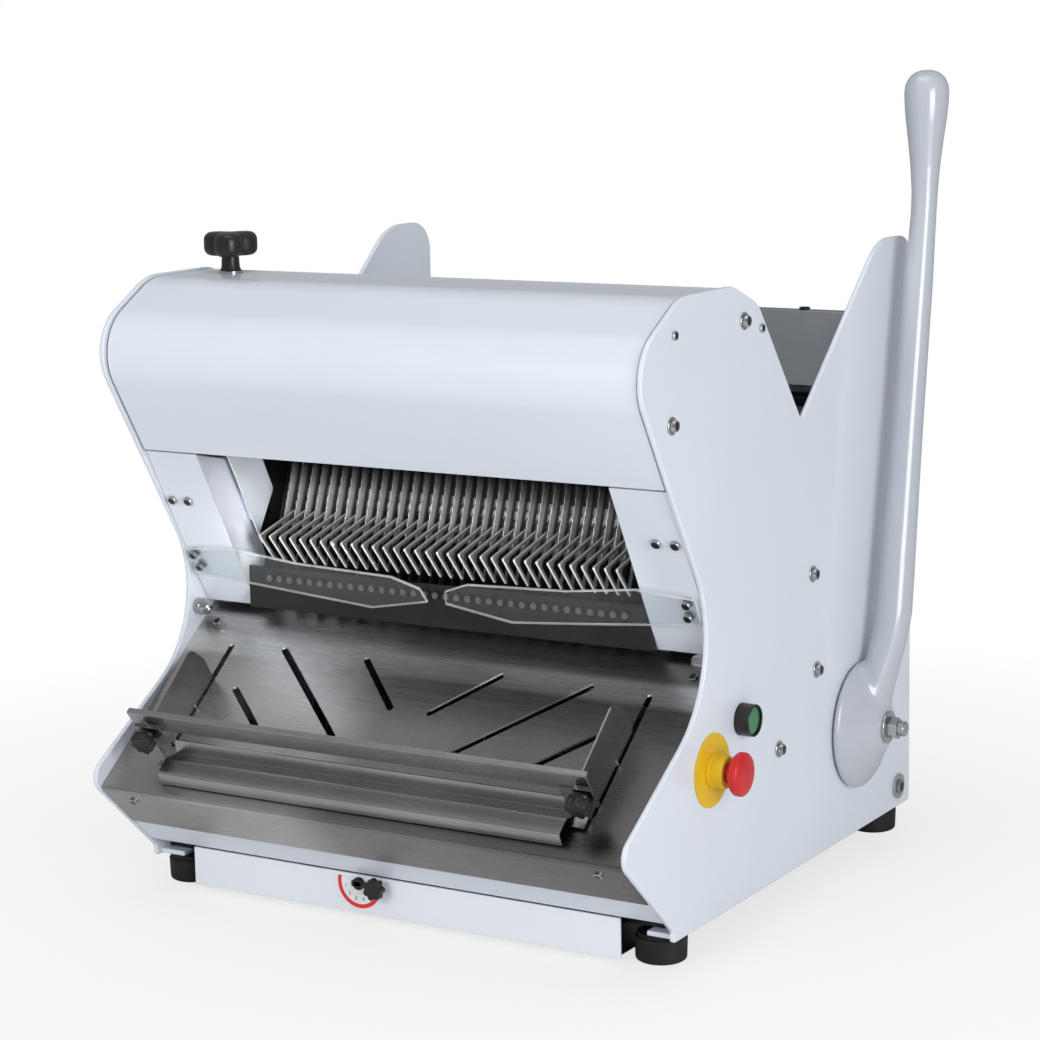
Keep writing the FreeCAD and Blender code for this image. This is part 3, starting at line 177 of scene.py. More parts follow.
def faded(finish, output, axis, stops, turn=0.0):
    """The same finish, darker along an axis; stops are (metres or share, share of the colour kept)."""
    tree = finish.node_tree
    shader = tree.nodes["Principled BSDF"]
    low, high = stops[0][0], stops[-1][0]
    span = tree.nodes.new("ShaderNodeMapRange")
    span.inputs["From Min"].default_value = low
    span.inputs["From Max"].default_value = high
    ramp = tree.nodes.new("ShaderNodeValToRGB")
    for i, (mark, kept) in enumerate(stops):
        where = (mark - low) / (high - low)
        stop = ramp.color_ramp.elements[i] if i < 2 else ramp.color_ramp.elements.new(where)
        stop.position = where
        stop.color = (kept, kept, kept, 1)
    blend = tree.nodes.new("ShaderNodeMix")
    blend.data_type = "RGBA"
    blend.blend_type = "MULTIPLY"
    blend.inputs["Factor"].default_value = 1
    colour = shader.inputs["Base Color"].links[0].from_socket
    tree.links.new(object_axis(tree, output, axis, turn), span.inputs["Value"])
    tree.links.new(span.outputs["Result"], ramp.inputs["Fac"])
    tree.links.new(colour, blend.inputs[6])
    tree.links.new(ramp.outputs["Color"], blend.inputs[7])
    tree.links.new(blend.outputs[2], shader.inputs["Base Color"])
    return finish


def banded(finish, axis, centre, full, gone, colour, share):
    """The same finish with a pale band: whole within full of its centre line, gone at gone, in metres."""
    tree = finish.node_tree
    shader = tree.nodes["Principled BSDF"]
    offset = tree.nodes.new("ShaderNodeMath")
    offset.operation = "SUBTRACT"
    offset.inputs[1].default_value = centre
    distance = tree.nodes.new("ShaderNodeMath")
    distance.operation = "ABSOLUTE"
    edge = tree.nodes.new("ShaderNodeMapRange")
    edge.interpolation_type = "SMOOTHSTEP"
    edge.inputs["From Min"].default_value = gone
    edge.inputs["From Max"].default_value = full
    edge.inputs["To Max"].default_value = share
    blend = tree.nodes.new("ShaderNodeMix")
    blend.data_type = "RGBA"
    blend.inputs[7].default_value = (*colour, 1)
    below = shader.inputs["Base Color"].links[0].from_socket
    tree.links.new(object_axis(tree, "Object", axis), offset.inputs[0])
    tree.links.new(offset.outputs[0], distance.inputs[0])
    tree.links.new(distance.outputs[0], edge.inputs["Value"])
    tree.links.new(edge.outputs["Result"], blend.inputs["Factor"])
    tree.links.new(below, blend.inputs[6])
    tree.links.new(blend.outputs[2], shader.inputs["Base Color"])
    return finish


print("fades ready:", faded.__name__, banded.__name__)

# %% [markdown]
# ## Painted steel
# The panels and hood are sheet steel with a baked, glossy coat. Such paint is never quite flat: it has
# a fine orange peel, which shows only in reflections, and its gloss changes a little from hand to hand.
# A clear coat over a slightly rough base gives both. The cast lever wears a darker grey of the same kind,
# and the drawer's paint is a little lighter than the panels'.

# %% Paints
def paint(name, colour, dark, rough=0.32, coat=0.5, peel=0.00012):
    finish, tree, shader = new_finish(name, colour, rough, Coat_Weight=coat, Coat_Roughness=0.12,
                                      Specular_IOR_Level=0.5)
    broad = noise(tree, 7, 3)
    tint(tree, shader, broad, dark, colour)
    tree.links.new(spread(tree, noise(tree, 26, 5), rough - 0.02, rough + 0.03), shader.inputs["Roughness"])
    relief(tree, shader, noise(tree, 420, 3), peel, 0.35)
    return finish


white_paint = paint("white_paint", (0.74, 0.79, 0.865), (0.715, 0.765, 0.84))
drawer_paint = paint("drawer_paint", (0.84, 0.87, 0.92), (0.815, 0.845, 0.895))
lever_paint = paint("lever_paint", (0.50, 0.533, 0.585), (0.486, 0.518, 0.57), rough=0.24, coat=0.8,
                    peel=0.0002)
motor_paint = paint("motor_paint", (0.10, 0.13, 0.17), (0.08, 0.10, 0.14), rough=0.45, coat=0.2)
print("paints:", white_paint.name, drawer_paint.name, lever_paint.name, motor_paint.name)

# %% [markdown]
# ## Stainless steel
# Rolled sheet has long fine lines in one direction. Two noises, both stretched along X, give broad
# soft streaks and hair-fine grain; they drive roughness and a very shallow bump. Wiping leaves a few
# cloudy patches, which a third, round noise adds to the colour. Turned and ground parts are brighter and
# smoother, and castings are rough in every direction. The inner parts' steel is made nearly black and the
# rear sheet's a darker grey: that darkness is painted shade inside the machine.

# %% Steels
def steel(name, colour, dark, rough, along=(1, 60, 60), grain=900, depth=0.00002, metal=1.0):
    """Steel with its rolling lines along X; along sets the stretch of the broad streaks."""
    finish, tree, shader = new_finish(name, colour, rough, Metallic=metal)
    tint(tree, shader, noise(tree, 9, 5), dark, colour)
    lines = noise(tree, 14, 6, along)
    tree.links.new(spread(tree, lines, rough - 0.03, rough + 0.05), shader.inputs["Roughness"])
    relief(tree, shader, noise(tree, grain, 2, (0.02, 1, 1)), depth, 0.5)
    return finish


folded_steel = steel("folded_steel", (0.47, 0.45, 0.437), (0.38, 0.363, 0.353), 0.24)
bright_steel = steel("bright_steel", (0.55, 0.555, 0.56), (0.44, 0.445, 0.45), 0.16, along=(40, 40, 40))
# Painted shade: nearly black steel for the frames, floor, pusher and other parts inside the machine.
shaded_inner_steel = steel("shaded_inner_steel", (0.075, 0.074, 0.075), (0.05, 0.05, 0.05), 0.42, along=(2, 30, 30))
# Painted shade: a darker grey steel for the rear sheet inside; the rail's nuts use it too.
rear_steel = steel("rear_steel", (0.30, 0.31, 0.33), (0.25, 0.26, 0.28), 0.50, along=(2, 30, 30))
cast_iron = steel("cast_iron", (0.26, 0.26, 0.27), (0.19, 0.19, 0.20), 0.55, along=(30, 30, 30), grain=700,
                  depth=0.0002)
print("steels:", folded_steel.name, bright_steel.name, shaded_inner_steel.name, rear_steel.name, cast_iron.name)

# %% [markdown]
# ## The tray's steel
# The tray is the sheet that one sees most, and light and dark lie unevenly across it. It is brightest
# left of its middle, duller at the far left, dullest towards the lever side and a little darker near its
# front fold, and a soft pale band crosses it below the comb. Two fades, along X and along Z, and one band
# along Z say all that. They stand in for mirrored surroundings and aren't marks on the steel, so in a
# room with reflections of its own they would be taken out.

# %% Brushed sheet of the tray
brushed_sheet = steel("brushed_sheet", (0.84, 0.80, 0.775), (0.71, 0.675, 0.65), 0.28)
faded(brushed_sheet, "Object", "X", ((-0.31, 0.66), (-0.25, 0.68), (-0.19, 0.92), (-0.10, 0.92), (-0.05, 0.52),
                                     (0.08, 0.40), (0.266, 0.28)))
faded(brushed_sheet, "Object", "Z", ((0.10, 0.75), (0.16, 0.75), (0.19, 1), (0.28, 1)))
banded(brushed_sheet, "Z", 0.231, 0.005, 0.011, (0.80, 0.77, 0.75), 0.85)
print("tray finish:", brushed_sheet.name, len(brushed_sheet.node_tree.nodes), "nodes")

# %% [markdown]
# ## Blade and tine steel
# The blades are ground rather than polished, so they are less metallic. They are bright along their front
# edge, and behind it they carry painted shade. Towards both of their bars they are made nearly black, which
# is painted shade there and no coating. The fade behind the edge follows the lean of the blades, so its axis
# is turned by that angle. The rear blades take the same steel painted a little darker, as painted shade
# deeper in the opening. The tines are bright on their front and carry painted shade on their sides, which
# a fade on the X of the Normal tells apart.

# %% Blade and tine finishes
# Painted shade: nearly black towards both bars of the blades.
bar_shade = ((0.300, 0.02), (0.334, 0.04), (0.350, 1), (0.379, 1), (0.392, 0.4), (0.402, 0.08), (0.44, 0.03))
# Painted shade on the blades behind their bright front edge.
shade_behind_edge = ((-0.2178, 1), (-0.2105, 1), (-0.2070, 0.22), (-0.2028, 0.14))
# Painted shade on the sides of the tines, darker than their front.
shaded_sides = ((-0.6, 0.35), (-0.3, 1), (0.3, 1), (0.6, 0.35))
blade_steel = steel("blade_steel", (0.96, 0.95, 0.93), (0.84, 0.83, 0.81), 0.40, along=(60, 60, 2), metal=0.25)
# The rear blades' steel is the same steel painted darker, as painted shade deeper in the opening.
shaded_rear_blade_steel = steel("shaded_rear_blade_steel", (0.84, 0.83, 0.81), (0.72, 0.71, 0.70), 0.42, along=(60, 60, 2),
                         metal=0.25)
for finish in (blade_steel, shaded_rear_blade_steel):
    faded(finish, "Object", "Z", bar_shade)
    faded(finish, "Object", "Y", shade_behind_edge, turn=LEAN)
tine_steel = steel("tine_steel", (0.95, 0.945, 0.93), (0.87, 0.865, 0.85), 0.36, metal=0.3)
faded(tine_steel, "Normal", "X", shaded_sides)
print("cutting finishes:", blade_steel.name, shaded_rear_blade_steel.name, tine_steel.name)

# %% [markdown]
# ## Plastics, rubber and acrylic
# Moulded parts carry a fine, even texture from the tool and a soft sheen. Rubber is the same with more
# tooth and less gloss. Clear acrylic lets almost everything through; a Layer Weight node lets it mirror
# more where the sheet turns away from the eye, and its cut edges are hazy, so they show as a pale line.

# %% Plastics
def plastic(name, colour, dark, rough, tooth=0.00006, coat=0.0):
    finish, tree, shader = new_finish(name, colour, rough, Coat_Weight=coat, Coat_Roughness=0.2)
    tint(tree, shader, noise(tree, 60, 4), dark, colour)
    tree.links.new(spread(tree, noise(tree, 90, 4), rough - 0.06, rough + 0.08), shader.inputs["Roughness"])
    relief(tree, shader, noise(tree, 1500, 2), tooth, 0.6)
    return finish


black_plastic = plastic("black_plastic", (0.014, 0.013, 0.013), (0.008, 0.0075, 0.0075), 0.36)
black_rubber = plastic("black_rubber", (0.007, 0.0065, 0.006), (0.004, 0.0038, 0.0035), 0.66, tooth=0.0002)
yellow_plastic = plastic("yellow_plastic", (0.78, 0.50, 0.008), (0.72, 0.45, 0.006), 0.50)
red_plastic = plastic("red_plastic", (0.60, 0.012, 0.016), (0.50, 0.006, 0.008), 0.42, coat=0.05)
green_lens = plastic("green_lens", (0.012, 0.20, 0.06), (0.008, 0.15, 0.04), 0.22, coat=0.5)
plate_white = plastic("plate_white", (0.86, 0.87, 0.88), (0.80, 0.81, 0.82), 0.40)
plate_red = plastic("plate_red", (0.78, 0.03, 0.04), (0.70, 0.02, 0.03), 0.40)
plate_ink = plastic("plate_ink", (0.05, 0.05, 0.06), (0.03, 0.03, 0.04), 0.50)


def thin_sheet(name, clear, haze, cover):
    """Thin clear sheet: light passes straight through, and more is mirrored where the sheet turns away."""
    finish, tree, shader = new_finish(name, haze, 0.12)
    passing = tree.nodes.new("ShaderNodeBsdfTransparent")
    passing.inputs["Color"].default_value = (*clear, 1)
    turned_away = tree.nodes.new("ShaderNodeLayerWeight")
    steep = tree.nodes.new("ShaderNodeMath")
    steep.operation = "POWER"
    steep.inputs[1].default_value = 3
    weak = tree.nodes.new("ShaderNodeMath")
    weak.operation = "MULTIPLY_ADD"
    weak.inputs[1].default_value = 0.3
    both = tree.nodes.new("ShaderNodeMixShader")
    tree.links.new(turned_away.outputs["Facing"], steep.inputs[0])
    tree.links.new(steep.outputs[0], weak.inputs[0])
    tree.links.new(spread(tree, noise(tree, 30, 4), cover * 0.8, cover * 1.2), weak.inputs[2])
    tree.links.new(weak.outputs[0], both.inputs[0])
    tree.links.new(passing.outputs[0], both.inputs[1])
    tree.links.new(shader.outputs[0], both.inputs[2])
    tree.links.new(both.outputs[0], tree.nodes["Material Output"].inputs["Surface"])
    return finish


clear_acrylic = thin_sheet("clear_acrylic", (0.97, 0.98, 0.98), (0.55, 0.56, 0.57), 0.03)
acrylic_edge = thin_sheet("acrylic_edge", (0.9, 0.93, 0.93), (0.85, 0.88, 0.89), 0.5)
print("plastics:", black_plastic.name, clear_acrylic.name)

# %% [markdown]
# ## Dressing the folded sheets
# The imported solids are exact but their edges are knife-sharp. A copy of each is cleaned (doubles merged,
# flat areas joined again), given a narrow rounded edge with a Bevel modifier, and shaded smooth only
# across small angles. The rounded edge catches light the way a deburred sheet does. A Weighted Normal
# modifier then lets the large faces decide the shading, so that a flat panel stays flat up to its edge.
# The copy rides on the body of its node and stands in for it.

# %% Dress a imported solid
def only(piece):
    """Select this piece alone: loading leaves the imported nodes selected, and operators act on all of them."""
    bpy.ops.object.select_all(action="DESELECT")
    piece.select_set(True)
    bpy.context.view_layer.objects.active = piece


def finished(piece, finish, body, edge=0.0, segments=2, smooth=35):
    """Rounded edges, smooth shading, its finish and its body."""
    only(piece)
    bpy.ops.object.transform_apply(location=True, rotation=True, scale=True)
    if edge:
        bevel = piece.modifiers.new("edge", "BEVEL")
        bevel.width = edge
        bevel.segments = segments
        bevel.limit_method = "ANGLE"
        bevel.angle_limit = math.radians(38)
        bpy.ops.object.modifier_apply(modifier=bevel.name)
    bpy.ops.object.shade_smooth_by_angle(angle=math.radians(smooth))
    if edge:
        even = piece.modifiers.new("even", "WEIGHTED_NORMAL")
        even.keep_sharp = True
        even.weight = 100
        bpy.ops.object.modifier_apply(modifier=even.name)
    if finish:
        piece.data.materials.clear()
        piece.data.materials.append(finish)
    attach(piece, body)
    return piece


def dressed(node, finish, edge=0.0005, segments=2, smooth=35):
    """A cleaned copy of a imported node, with rounded edges and its finish, in the node's place."""
    only(nodes[node])
    bpy.ops.object.duplicate()
    piece = bpy.context.active_object
    piece.parent = None
    piece.name = piece.data.name = node + "_dressed"
    bpy.ops.object.mode_set(mode="EDIT")
    bpy.ops.mesh.select_all(action="SELECT")
    bpy.ops.mesh.remove_doubles(threshold=0.000002)
    bpy.ops.mesh.dissolve_limited(angle_limit=math.radians(0.4), use_dissolve_boundaries=False)
    bpy.ops.object.mode_set(mode="OBJECT")
    piece = finished(piece, finish, body_of[node], edge, segments, smooth)
    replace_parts(piece, node)
    return piece


print("ready to dress", len(body_of), "nodes")

# %% [markdown]
# ## Painted sheets
# Panels, hood, sill, covers and jambs share one white paint; the drawer has its own. The hood is drawn in
# by half a per cent, so that a thin dark joint shows between it and the panels, as it does where two
# painted sheets meet without touching.

# %% Painted sheets
for node, edge in (("side_panel_left", 0.0012), ("side_panel_right", 0.0012), ("front_sill", 0.0004),
                   ("infeed_front_sheet", 0.0006), ("rear_cover", 0.0006), ("jamb_left", 0.0006),
                   ("jamb_right", 0.0006), ("cheek_plates", 0.0004)):
    dressed(node, white_paint, edge)
dressed("crumb_drawer", drawer_paint, 0.0007)
hood = dressed("hood", white_paint, 0.0006)
HOOD_WIDTH = 0.9945
for vertex in hood.data.vertices:
    vertex.co.x = MIDDLE + (vertex.co.x - MIDDLE) * HOOD_WIDTH
print("painted sheets dressed, hood", round(hood.dimensions.x, 4), "m wide")

# %% [markdown]
# ## Steel sheets and machined parts
# What the imported model shows well enough keeps its shape: sheets, comb, frames, shafts, pulleys and the
# boxes inside. The clear guards and the comb's rail are dressed here too, and the next two steps change
# them. Each piece gets the finish of its own process and an edge as sharp as that process leaves it,
# from a third of a millimetre on folded sheet to two on a moulded box. The parts inside the machine take
# instead the nearly black steel, whose darkness is painted shade.

# %% Steel sheets and machined parts
for node, finish, edge in (("discharge_tray", brushed_sheet, 0.0004),
                           ("loaf_stop_bar", folded_steel, 0.0004), ("loaf_stop_frame", folded_steel, 0.0004),
                           ("infeed_rear_sheet", rear_steel, 0.0005), ("slicing_comb", tine_steel, 0.0003),
                           ("comb_rail", shaded_inner_steel, 0.0003), ("blade_frame_front", shaded_inner_steel, 0.0006),
                           ("blade_frame_rear", shaded_inner_steel, 0.0006), ("infeed_floor", shaded_inner_steel, 0.0004),
                           ("pusher", shaded_inner_steel, 0.0005), ("base_plate", shaded_inner_steel, 0.0004),
                           ("drawer_runners", shaded_inner_steel, 0.0004), ("feed_arms", shaded_inner_steel, 0.0008),
                           ("rocker", cast_iron, 0.001), ("eccentric_shaft", bright_steel, 0.0006),
                           ("drive_pulley", cast_iron, 0.0008), ("motor_pulley", cast_iron, 0.0008),
                           ("drive_bearings", cast_iron, 0.001), ("motor", motor_paint, 0.0015),
                           ("drive_belt", black_rubber, 0.0005), ("guide_rods", bright_steel, 0.0004),
                           ("carriage_rails", bright_steel, 0.0006), ("tie_rods", bright_steel, 0.0),
                           ("lever_shaft", bright_steel, 0.0006), ("lever_bushes", black_plastic, 0.0004),
                           ("electrical_box", black_plastic, 0.002), ("cable_gland", black_plastic, 0.0006),
                           ("switch_blocks", black_plastic, 0.001), ("rim_loop", black_rubber, 0.0),
                           ("hand_guard_left", clear_acrylic, 0.0005),
                           ("hand_guard_right", clear_acrylic, 0.0005)):
    dressed(node, finish, edge)
print("steel parts dressed")

# %% [markdown]
# ## Clear guards
# Two clear guards are bolted to the jambs and nearly meet in the middle of the opening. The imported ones
# stop short of that, so their free ends are drawn inwards: from the root, which stays, each point moves
# in proportion to its distance, first up to the lower corner and then faster up to the tip. Faces that
# don't look along the sheet's thickness are its cut edge, and get the hazy finish.

# %% Guards drawn out to the middle
GUARD_ROOT, GUARD_CORNER, GUARD_TIP = 0.224, 0.118, 0.084
LONG_CORNER, LONG_TIP = 0.078, 0.010


def drawn_in(reach):
    """New distance from the middle of a guard's point that was reach away from it."""
    if reach < GUARD_CORNER:
        return LONG_CORNER - (GUARD_CORNER - reach) * (LONG_CORNER - LONG_TIP) / (GUARD_CORNER - GUARD_TIP)
    return GUARD_ROOT - (GUARD_ROOT - reach) * (GUARD_ROOT - LONG_CORNER) / (GUARD_ROOT - GUARD_CORNER)


for side in ("left", "right"):
    guard = bpy.data.objects[f"hand_guard_{side}_dressed"]
    for vertex in guard.data.vertices:
        out = vertex.co.x - MIDDLE
        if abs(out) < GUARD_ROOT:
            vertex.co.x = MIDDLE + math.copysign(drawn_in(abs(out)), out)
    guard.data.materials.append(acrylic_edge)
    for face in guard.data.polygons:
        face.material_index = 0 if abs(face.normal.dot(JAMB_OUT)) > 0.95 else 1
    print(guard.name, "is now", round(guard.dimensions.x, 3), "m long")

# %% [markdown]
# ## Rail of the comb
# The tines of the comb are held by a row of nuts on a dark rail. The rail's lower edge is drawn down a
# little, so that no gap shows between it and the end of the tray. The faces of the nuts stand in front
# of the rail, so their place in Y is enough to find them and to give them a paler steel.

# %% Rail and its nuts
RAIL_DROP = 0.013
rail = bpy.data.objects["comb_rail_dressed"]
rail_foot = at(0, 0, 281).z
for vertex in rail.data.vertices:
    if vertex.co.z < rail_foot:
        vertex.co.z -= RAIL_DROP
rail.data.materials.append(rear_steel)
rail_front = at(0, 86, 0).y
for face in rail.data.polygons:
    face.material_index = 1 if face.center.y < rail_front - 0.0008 else 0
print("pale nut faces:", sum(face.material_index for face in rail.data.polygons))

# %% [markdown]
# ## Turned parts
# Knob stems, bolts, feet and buttons are turned on a lathe or moulded round. Each starts as a circle
# that is extruded station by station along its axis and widened or narrowed on the way, which is how
# one would do it by hand. The finished piece is then turned to its own axis and its place is applied.
# Pieces that repeat are made once at the origin and duplicated to their places.

# %% Turned shape
def turned(name, place, axis, stations, sides=48):
    """Round piece through (distance, radius) stations in millimetres along its axis."""
    bpy.ops.object.select_all(action="DESELECT")
    start, first_radius = stations[0]
    bpy.ops.mesh.primitive_circle_add(vertices=sides, radius=first_radius / 1000, fill_type="NGON",
                                      location=(0, 0, 0))
    piece = bpy.context.active_object
    piece.name = piece.data.name = name
    bpy.ops.object.mode_set(mode="EDIT")
    bpy.ops.mesh.select_all(action="SELECT")
    bpy.ops.transform.translate(value=(0, 0, start / 1000))
    for (last_z, last_radius), (z, radius) in zip(stations, stations[1:]):
        bpy.ops.mesh.extrude_region_move(TRANSFORM_OT_translate={"value": (0, 0, (z - last_z) / 1000)})
        grow = radius / last_radius
        bpy.ops.transform.resize(value=(grow, grow, 1), center_override=(0, 0, z / 1000))
    bpy.ops.mesh.select_all(action="SELECT")
    bpy.ops.mesh.normals_make_consistent(inside=False)
    bpy.ops.object.mode_set(mode="OBJECT")
    piece.matrix_world = Matrix.Translation(place) @ Vector(axis).to_track_quat("Z", "Y").to_matrix().to_4x4()
    only(piece)
    bpy.ops.object.transform_apply(location=True, rotation=True, scale=True)
    return piece


def merged(name, *pieces):
    """One object out of several, each still a closed shape."""
    only(pieces[0])
    for piece in pieces[1:]:
        piece.select_set(True)
    bpy.ops.object.join()
    pieces[0].name = pieces[0].data.name = name
    return pieces[0]


def copies(pattern, spots):
    """The pattern again at each (place, axis), every copy with a mesh of its own; the pattern goes."""
    made = []
    for place, axis in spots:
        only(pattern)
        bpy.ops.object.duplicate()
        made.append(bpy.context.active_object)
        turn = Vector((0, 0, 1)).rotation_difference(Vector(axis))
        made[-1].matrix_world = Matrix.Translation(place) @ turn.to_matrix().to_4x4()
    bpy.data.objects.remove(pattern)
    return made


print("lathe ready:", turned.__name__, merged.__name__, copies.__name__)

# %% [markdown]
# ## Feet
# Each foot is a rubber buffer: straight sides, a small shoulder under the steel and a rounded rim on
# the floor.

# %% Feet
foot = turned("foot", (0, 0, 0), (0, 0, 1),
              [(0, 21), (1.2, 22.8), (3, 23.4), (21, 24), (22.4, 23.2), (22.4, 21.5), (26, 21.5)])
feet = copies(foot, [(at(x, y, 0), (0, 0, 1)) for x in (-262, 262) for y in (28, 492)])
foot_set = finished(merged("foot_set", *feet), black_rubber, "machine", 0.0003)
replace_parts(foot_set, "feet")
print("feet:", len(feet))

# %% [markdown]
# ## Screws
# The panels are held by cap screws on washers and by small round heads. One of each is turned, its
# socket is pressed in with an inset and an extrude, and copies go to their places.

# %% Screw heads
def socket_screw(head, depth, washer=0.0, washer_thick=1.5):
    """Cap screw standing on the origin, with a washer under it where one is given."""
    parts = []
    seat = washer_thick if washer else 0
    if washer:
        parts.append(turned("washer", (0, 0, 0), (0, 0, 1),
                            [(0, washer), (washer_thick - 0.3, washer), (washer_thick, washer - 0.3)], 32))
        parts[0].data.materials.append(bright_steel)
    cap = turned("cap", (0, 0, 0), (0, 0, 1),
                 [(seat, head), (seat + depth * 0.72, head), (seat + depth * 0.92, head * 0.9),
                  (seat + depth, head * 0.74)], 24)
    only(cap)
    bpy.ops.object.mode_set(mode="EDIT")
    mesh = bmesh.from_edit_mesh(cap.data)
    top = max(mesh.faces, key=lambda face: face.calc_center_median().z)
    for face in mesh.faces:
        face.select = face == top
    bmesh.update_edit_mesh(cap.data)
    bpy.ops.mesh.inset(thickness=head * 0.24 / 1000)
    bpy.ops.mesh.extrude_region_move(TRANSFORM_OT_translate={"value": (0, 0, -depth * 0.5 / 1000)})
    cap.data.materials.append(bright_steel)
    cap.data.materials.append(black_plastic)
    cap.active_material_index = 1
    bpy.ops.object.material_slot_assign()
    bpy.ops.object.mode_set(mode="OBJECT")
    return merged("screw", *parts, cap)


SMALL_SCREWS = [(9, 564), (177, 553)]                                       # Y and Z on a panel
WASHER_SCREWS = [(3, 487), (142, 563), (286, 307), (295, 212), (212, 153)]
CUP_SCREW = [(491, 48)]
screws = []
for pattern, places in ((socket_screw(4.2, 2.8), SMALL_SCREWS),
                        (socket_screw(5.4, 4.4, washer=8), WASHER_SCREWS),
                        (socket_screw(7.5, 2.4, washer=13, washer_thick=2.6), CUP_SCREW)):
    screws += copies(pattern, [(at(side * SIDE, y, z), (side, 0, 0)) for side in (1, -1) for y, z in places])
screw_set = finished(merged("panel_screw_set", *screws), None, "machine")
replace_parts(screw_set, "panel_screws")
print("panel screws:", len(screws))

# %% [markdown]
# ## Screws of jambs, guards and tray
# The guards stand off the jambs on short spacers, and their screws sit on the guards' front face. The
# tray is held by two screws at its upper end and two in its front lip. A cap nut sits inside each panel,
# turned with the dome that such nuts have.

# %% Jamb and guard screws
guard_spots = [(side * x, z) for side in (1, -1) for x, z in ((273, 321), (271, 308))]
spacer = turned("spacer", (0, 0, 0), (0, 0, 1), [(0.1, 4.6), (0.4, 5), (2.8, 5), (3.1, 4.6)], 24)
spacer.data.materials.append(bright_steel)
fixings = copies(spacer, [(on_jamb(x, z), JAMB_OUT) for x, z in guard_spots])
fixings += copies(socket_screw(4.4, 3.0), [(on_jamb(x, z, 6.2), JAMB_OUT) for x, z in guard_spots])
fixings += copies(socket_screw(4.8, 3.4), [(on_jamb(side * x, 377), JAMB_OUT) for side in (1, -1)
                                           for x in (276, 257)])
fixing_set = finished(merged("jamb_screw_set", *fixings), None, "machine")
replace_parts(fixing_set, "jamb_and_guard_bolts")
print("jamb and guard fixings:", len(fixings))

# %% Tray screws and cap nuts
tray_up = on_tray(0, 0, 1) - on_tray(0, 0, 0)
LIP_ANGLE = math.radians(-44)
LIP_SCREW = 17
lip_out = Vector((0, math.sin(LIP_ANGLE), -math.cos(LIP_ANGLE)))
lip_y = TRAY_FOLD[0] + LIP_SCREW * math.cos(LIP_ANGLE)
lip_z = TRAY_FOLD[1] + LIP_SCREW * math.sin(LIP_ANGLE)
tray_spots = [(on_tray(side * 266, 214, 0), tray_up) for side in (1, -1)]
tray_spots += [(at(side * 254, lip_y, lip_z), lip_out) for side in (1, -1)]
tray_fixings = copies(socket_screw(4.4, 2.2), tray_spots)
dome_nut = turned("dome_nut", (0, 0, 0), (0, 0, 1),
                  [(0, 8), (0.6, 8.5), (7, 8.5), (7.6, 7.9), (9.5, 8), (12, 7.4), (14.5, 6), (16.5, 3.8),
                   (17.4, 1)], 32)
dome_nut.data.materials.append(bright_steel)
tray_fixings += copies(dome_nut, [(at(side * 285, 79, 262), (-side, 0, 0)) for side in (1, -1)])
tray_fixing_set = finished(merged("tray_screw_set", *tray_fixings), None, "machine")
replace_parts(tray_fixing_set, "tray_fasteners")
print("tray fixings:", len(tray_fixings))

# %% [markdown]
# ## Feed lever
# The lever is one casting: a shallow domed disc at the pivot, a round arm that leans back and then
# stands up, and a pear-shaped head. Disc and arm are built from circles extruded along the piece; the
# foot of the arm is squashed flat and sunk into the disc. A voxel Remesh makes one skin of them, and a
# Smooth modifier that works only around the junction draws the wide fillet that a founder leaves there.

# %% Disc and arm of the lever
PIVOT = (391, 137)                   # Y and Z of the lever's pivot
BEND = 510                           # height over the pivot where the arm stands up
LEAN_BELOW = math.sin(math.radians(10))
LEAN_ABOVE = 0.035
ARM_X = 320


def arm_centre(height, x=ARM_X):
    """Centre line of the arm: it leans back up to the bend, and then nearly stands."""
    lean = min(height, BEND) * LEAN_BELOW + max(height - BEND, 0) * LEAN_ABOVE
    return at(x, PIVOT[0] + lean, PIVOT[1] + height)


hub = turned("lever_hub", at(292, *PIVOT), (1, 0, 0),
             [(0, 62.5), (0.8, 63.8), (3, 64), (5, 63.2), (8, 59.5), (11.5, 54), (15, 47.5), (19, 39.5),
              (23, 32), (26.5, 25.5), (29, 21), (30, 18)], 96)
# The foot's stations are height, half width along Y, X of the centre and half width along X.
flat_foot = [(-14, 12, 302, 14), (-4, 20, 303, 17), (12, 24, 304, 17.5), (30, 24, 306.5, 17),
             (50, 22, 310, 17.5), (70, 20, 314, 18), (90, 19, 317.5, 18.5), (110, 18.4, 320, 18.4)]
# The arm's stations are height and radius.
round_arm = [(175, 17), (240, 15.9), (300, 15.1), (370, 14.6), (430, 14.2), (475, 13.1), (500, 12.6),
             (520, 12.9), (545, 14.6), (570, 17.4), (590, 20), (604, 21.4), (616, 22), (624, 21), (631, 17.4),
             (635.6, 12), (637.6, 6), (638, 2)]
stations = flat_foot + [(height, radius, ARM_X, radius) for height, radius in round_arm]
height, half_y, x, half_x = stations[0]
bpy.ops.object.select_all(action="DESELECT")
bpy.ops.mesh.primitive_circle_add(vertices=40, radius=0.001, fill_type="NGON", location=arm_centre(height, x))
arm = bpy.context.active_object
bpy.ops.object.transform_apply(location=True)
bpy.ops.object.mode_set(mode="EDIT")
bpy.ops.mesh.select_all(action="SELECT")
bpy.ops.transform.resize(value=(half_x, half_y, 1), center_override=arm_centre(height, x))
for (low, wide_y, low_x, wide_x), (high, half_y, high_x, half_x) in zip(stations, stations[1:]):
    bpy.ops.mesh.extrude_region_move(
        TRANSFORM_OT_translate={"value": arm_centre(high, high_x) - arm_centre(low, low_x)})
    bpy.ops.transform.resize(value=(half_x / wide_x, half_y / wide_y, 1),
                             center_override=arm_centre(high, high_x))
bpy.ops.mesh.select_all(action="SELECT")
bpy.ops.mesh.normals_make_consistent(inside=False)
bpy.ops.object.mode_set(mode="OBJECT")
casting = merged("lever_casting", hub, arm)
print("disc and arm through", len(stations), "stations")

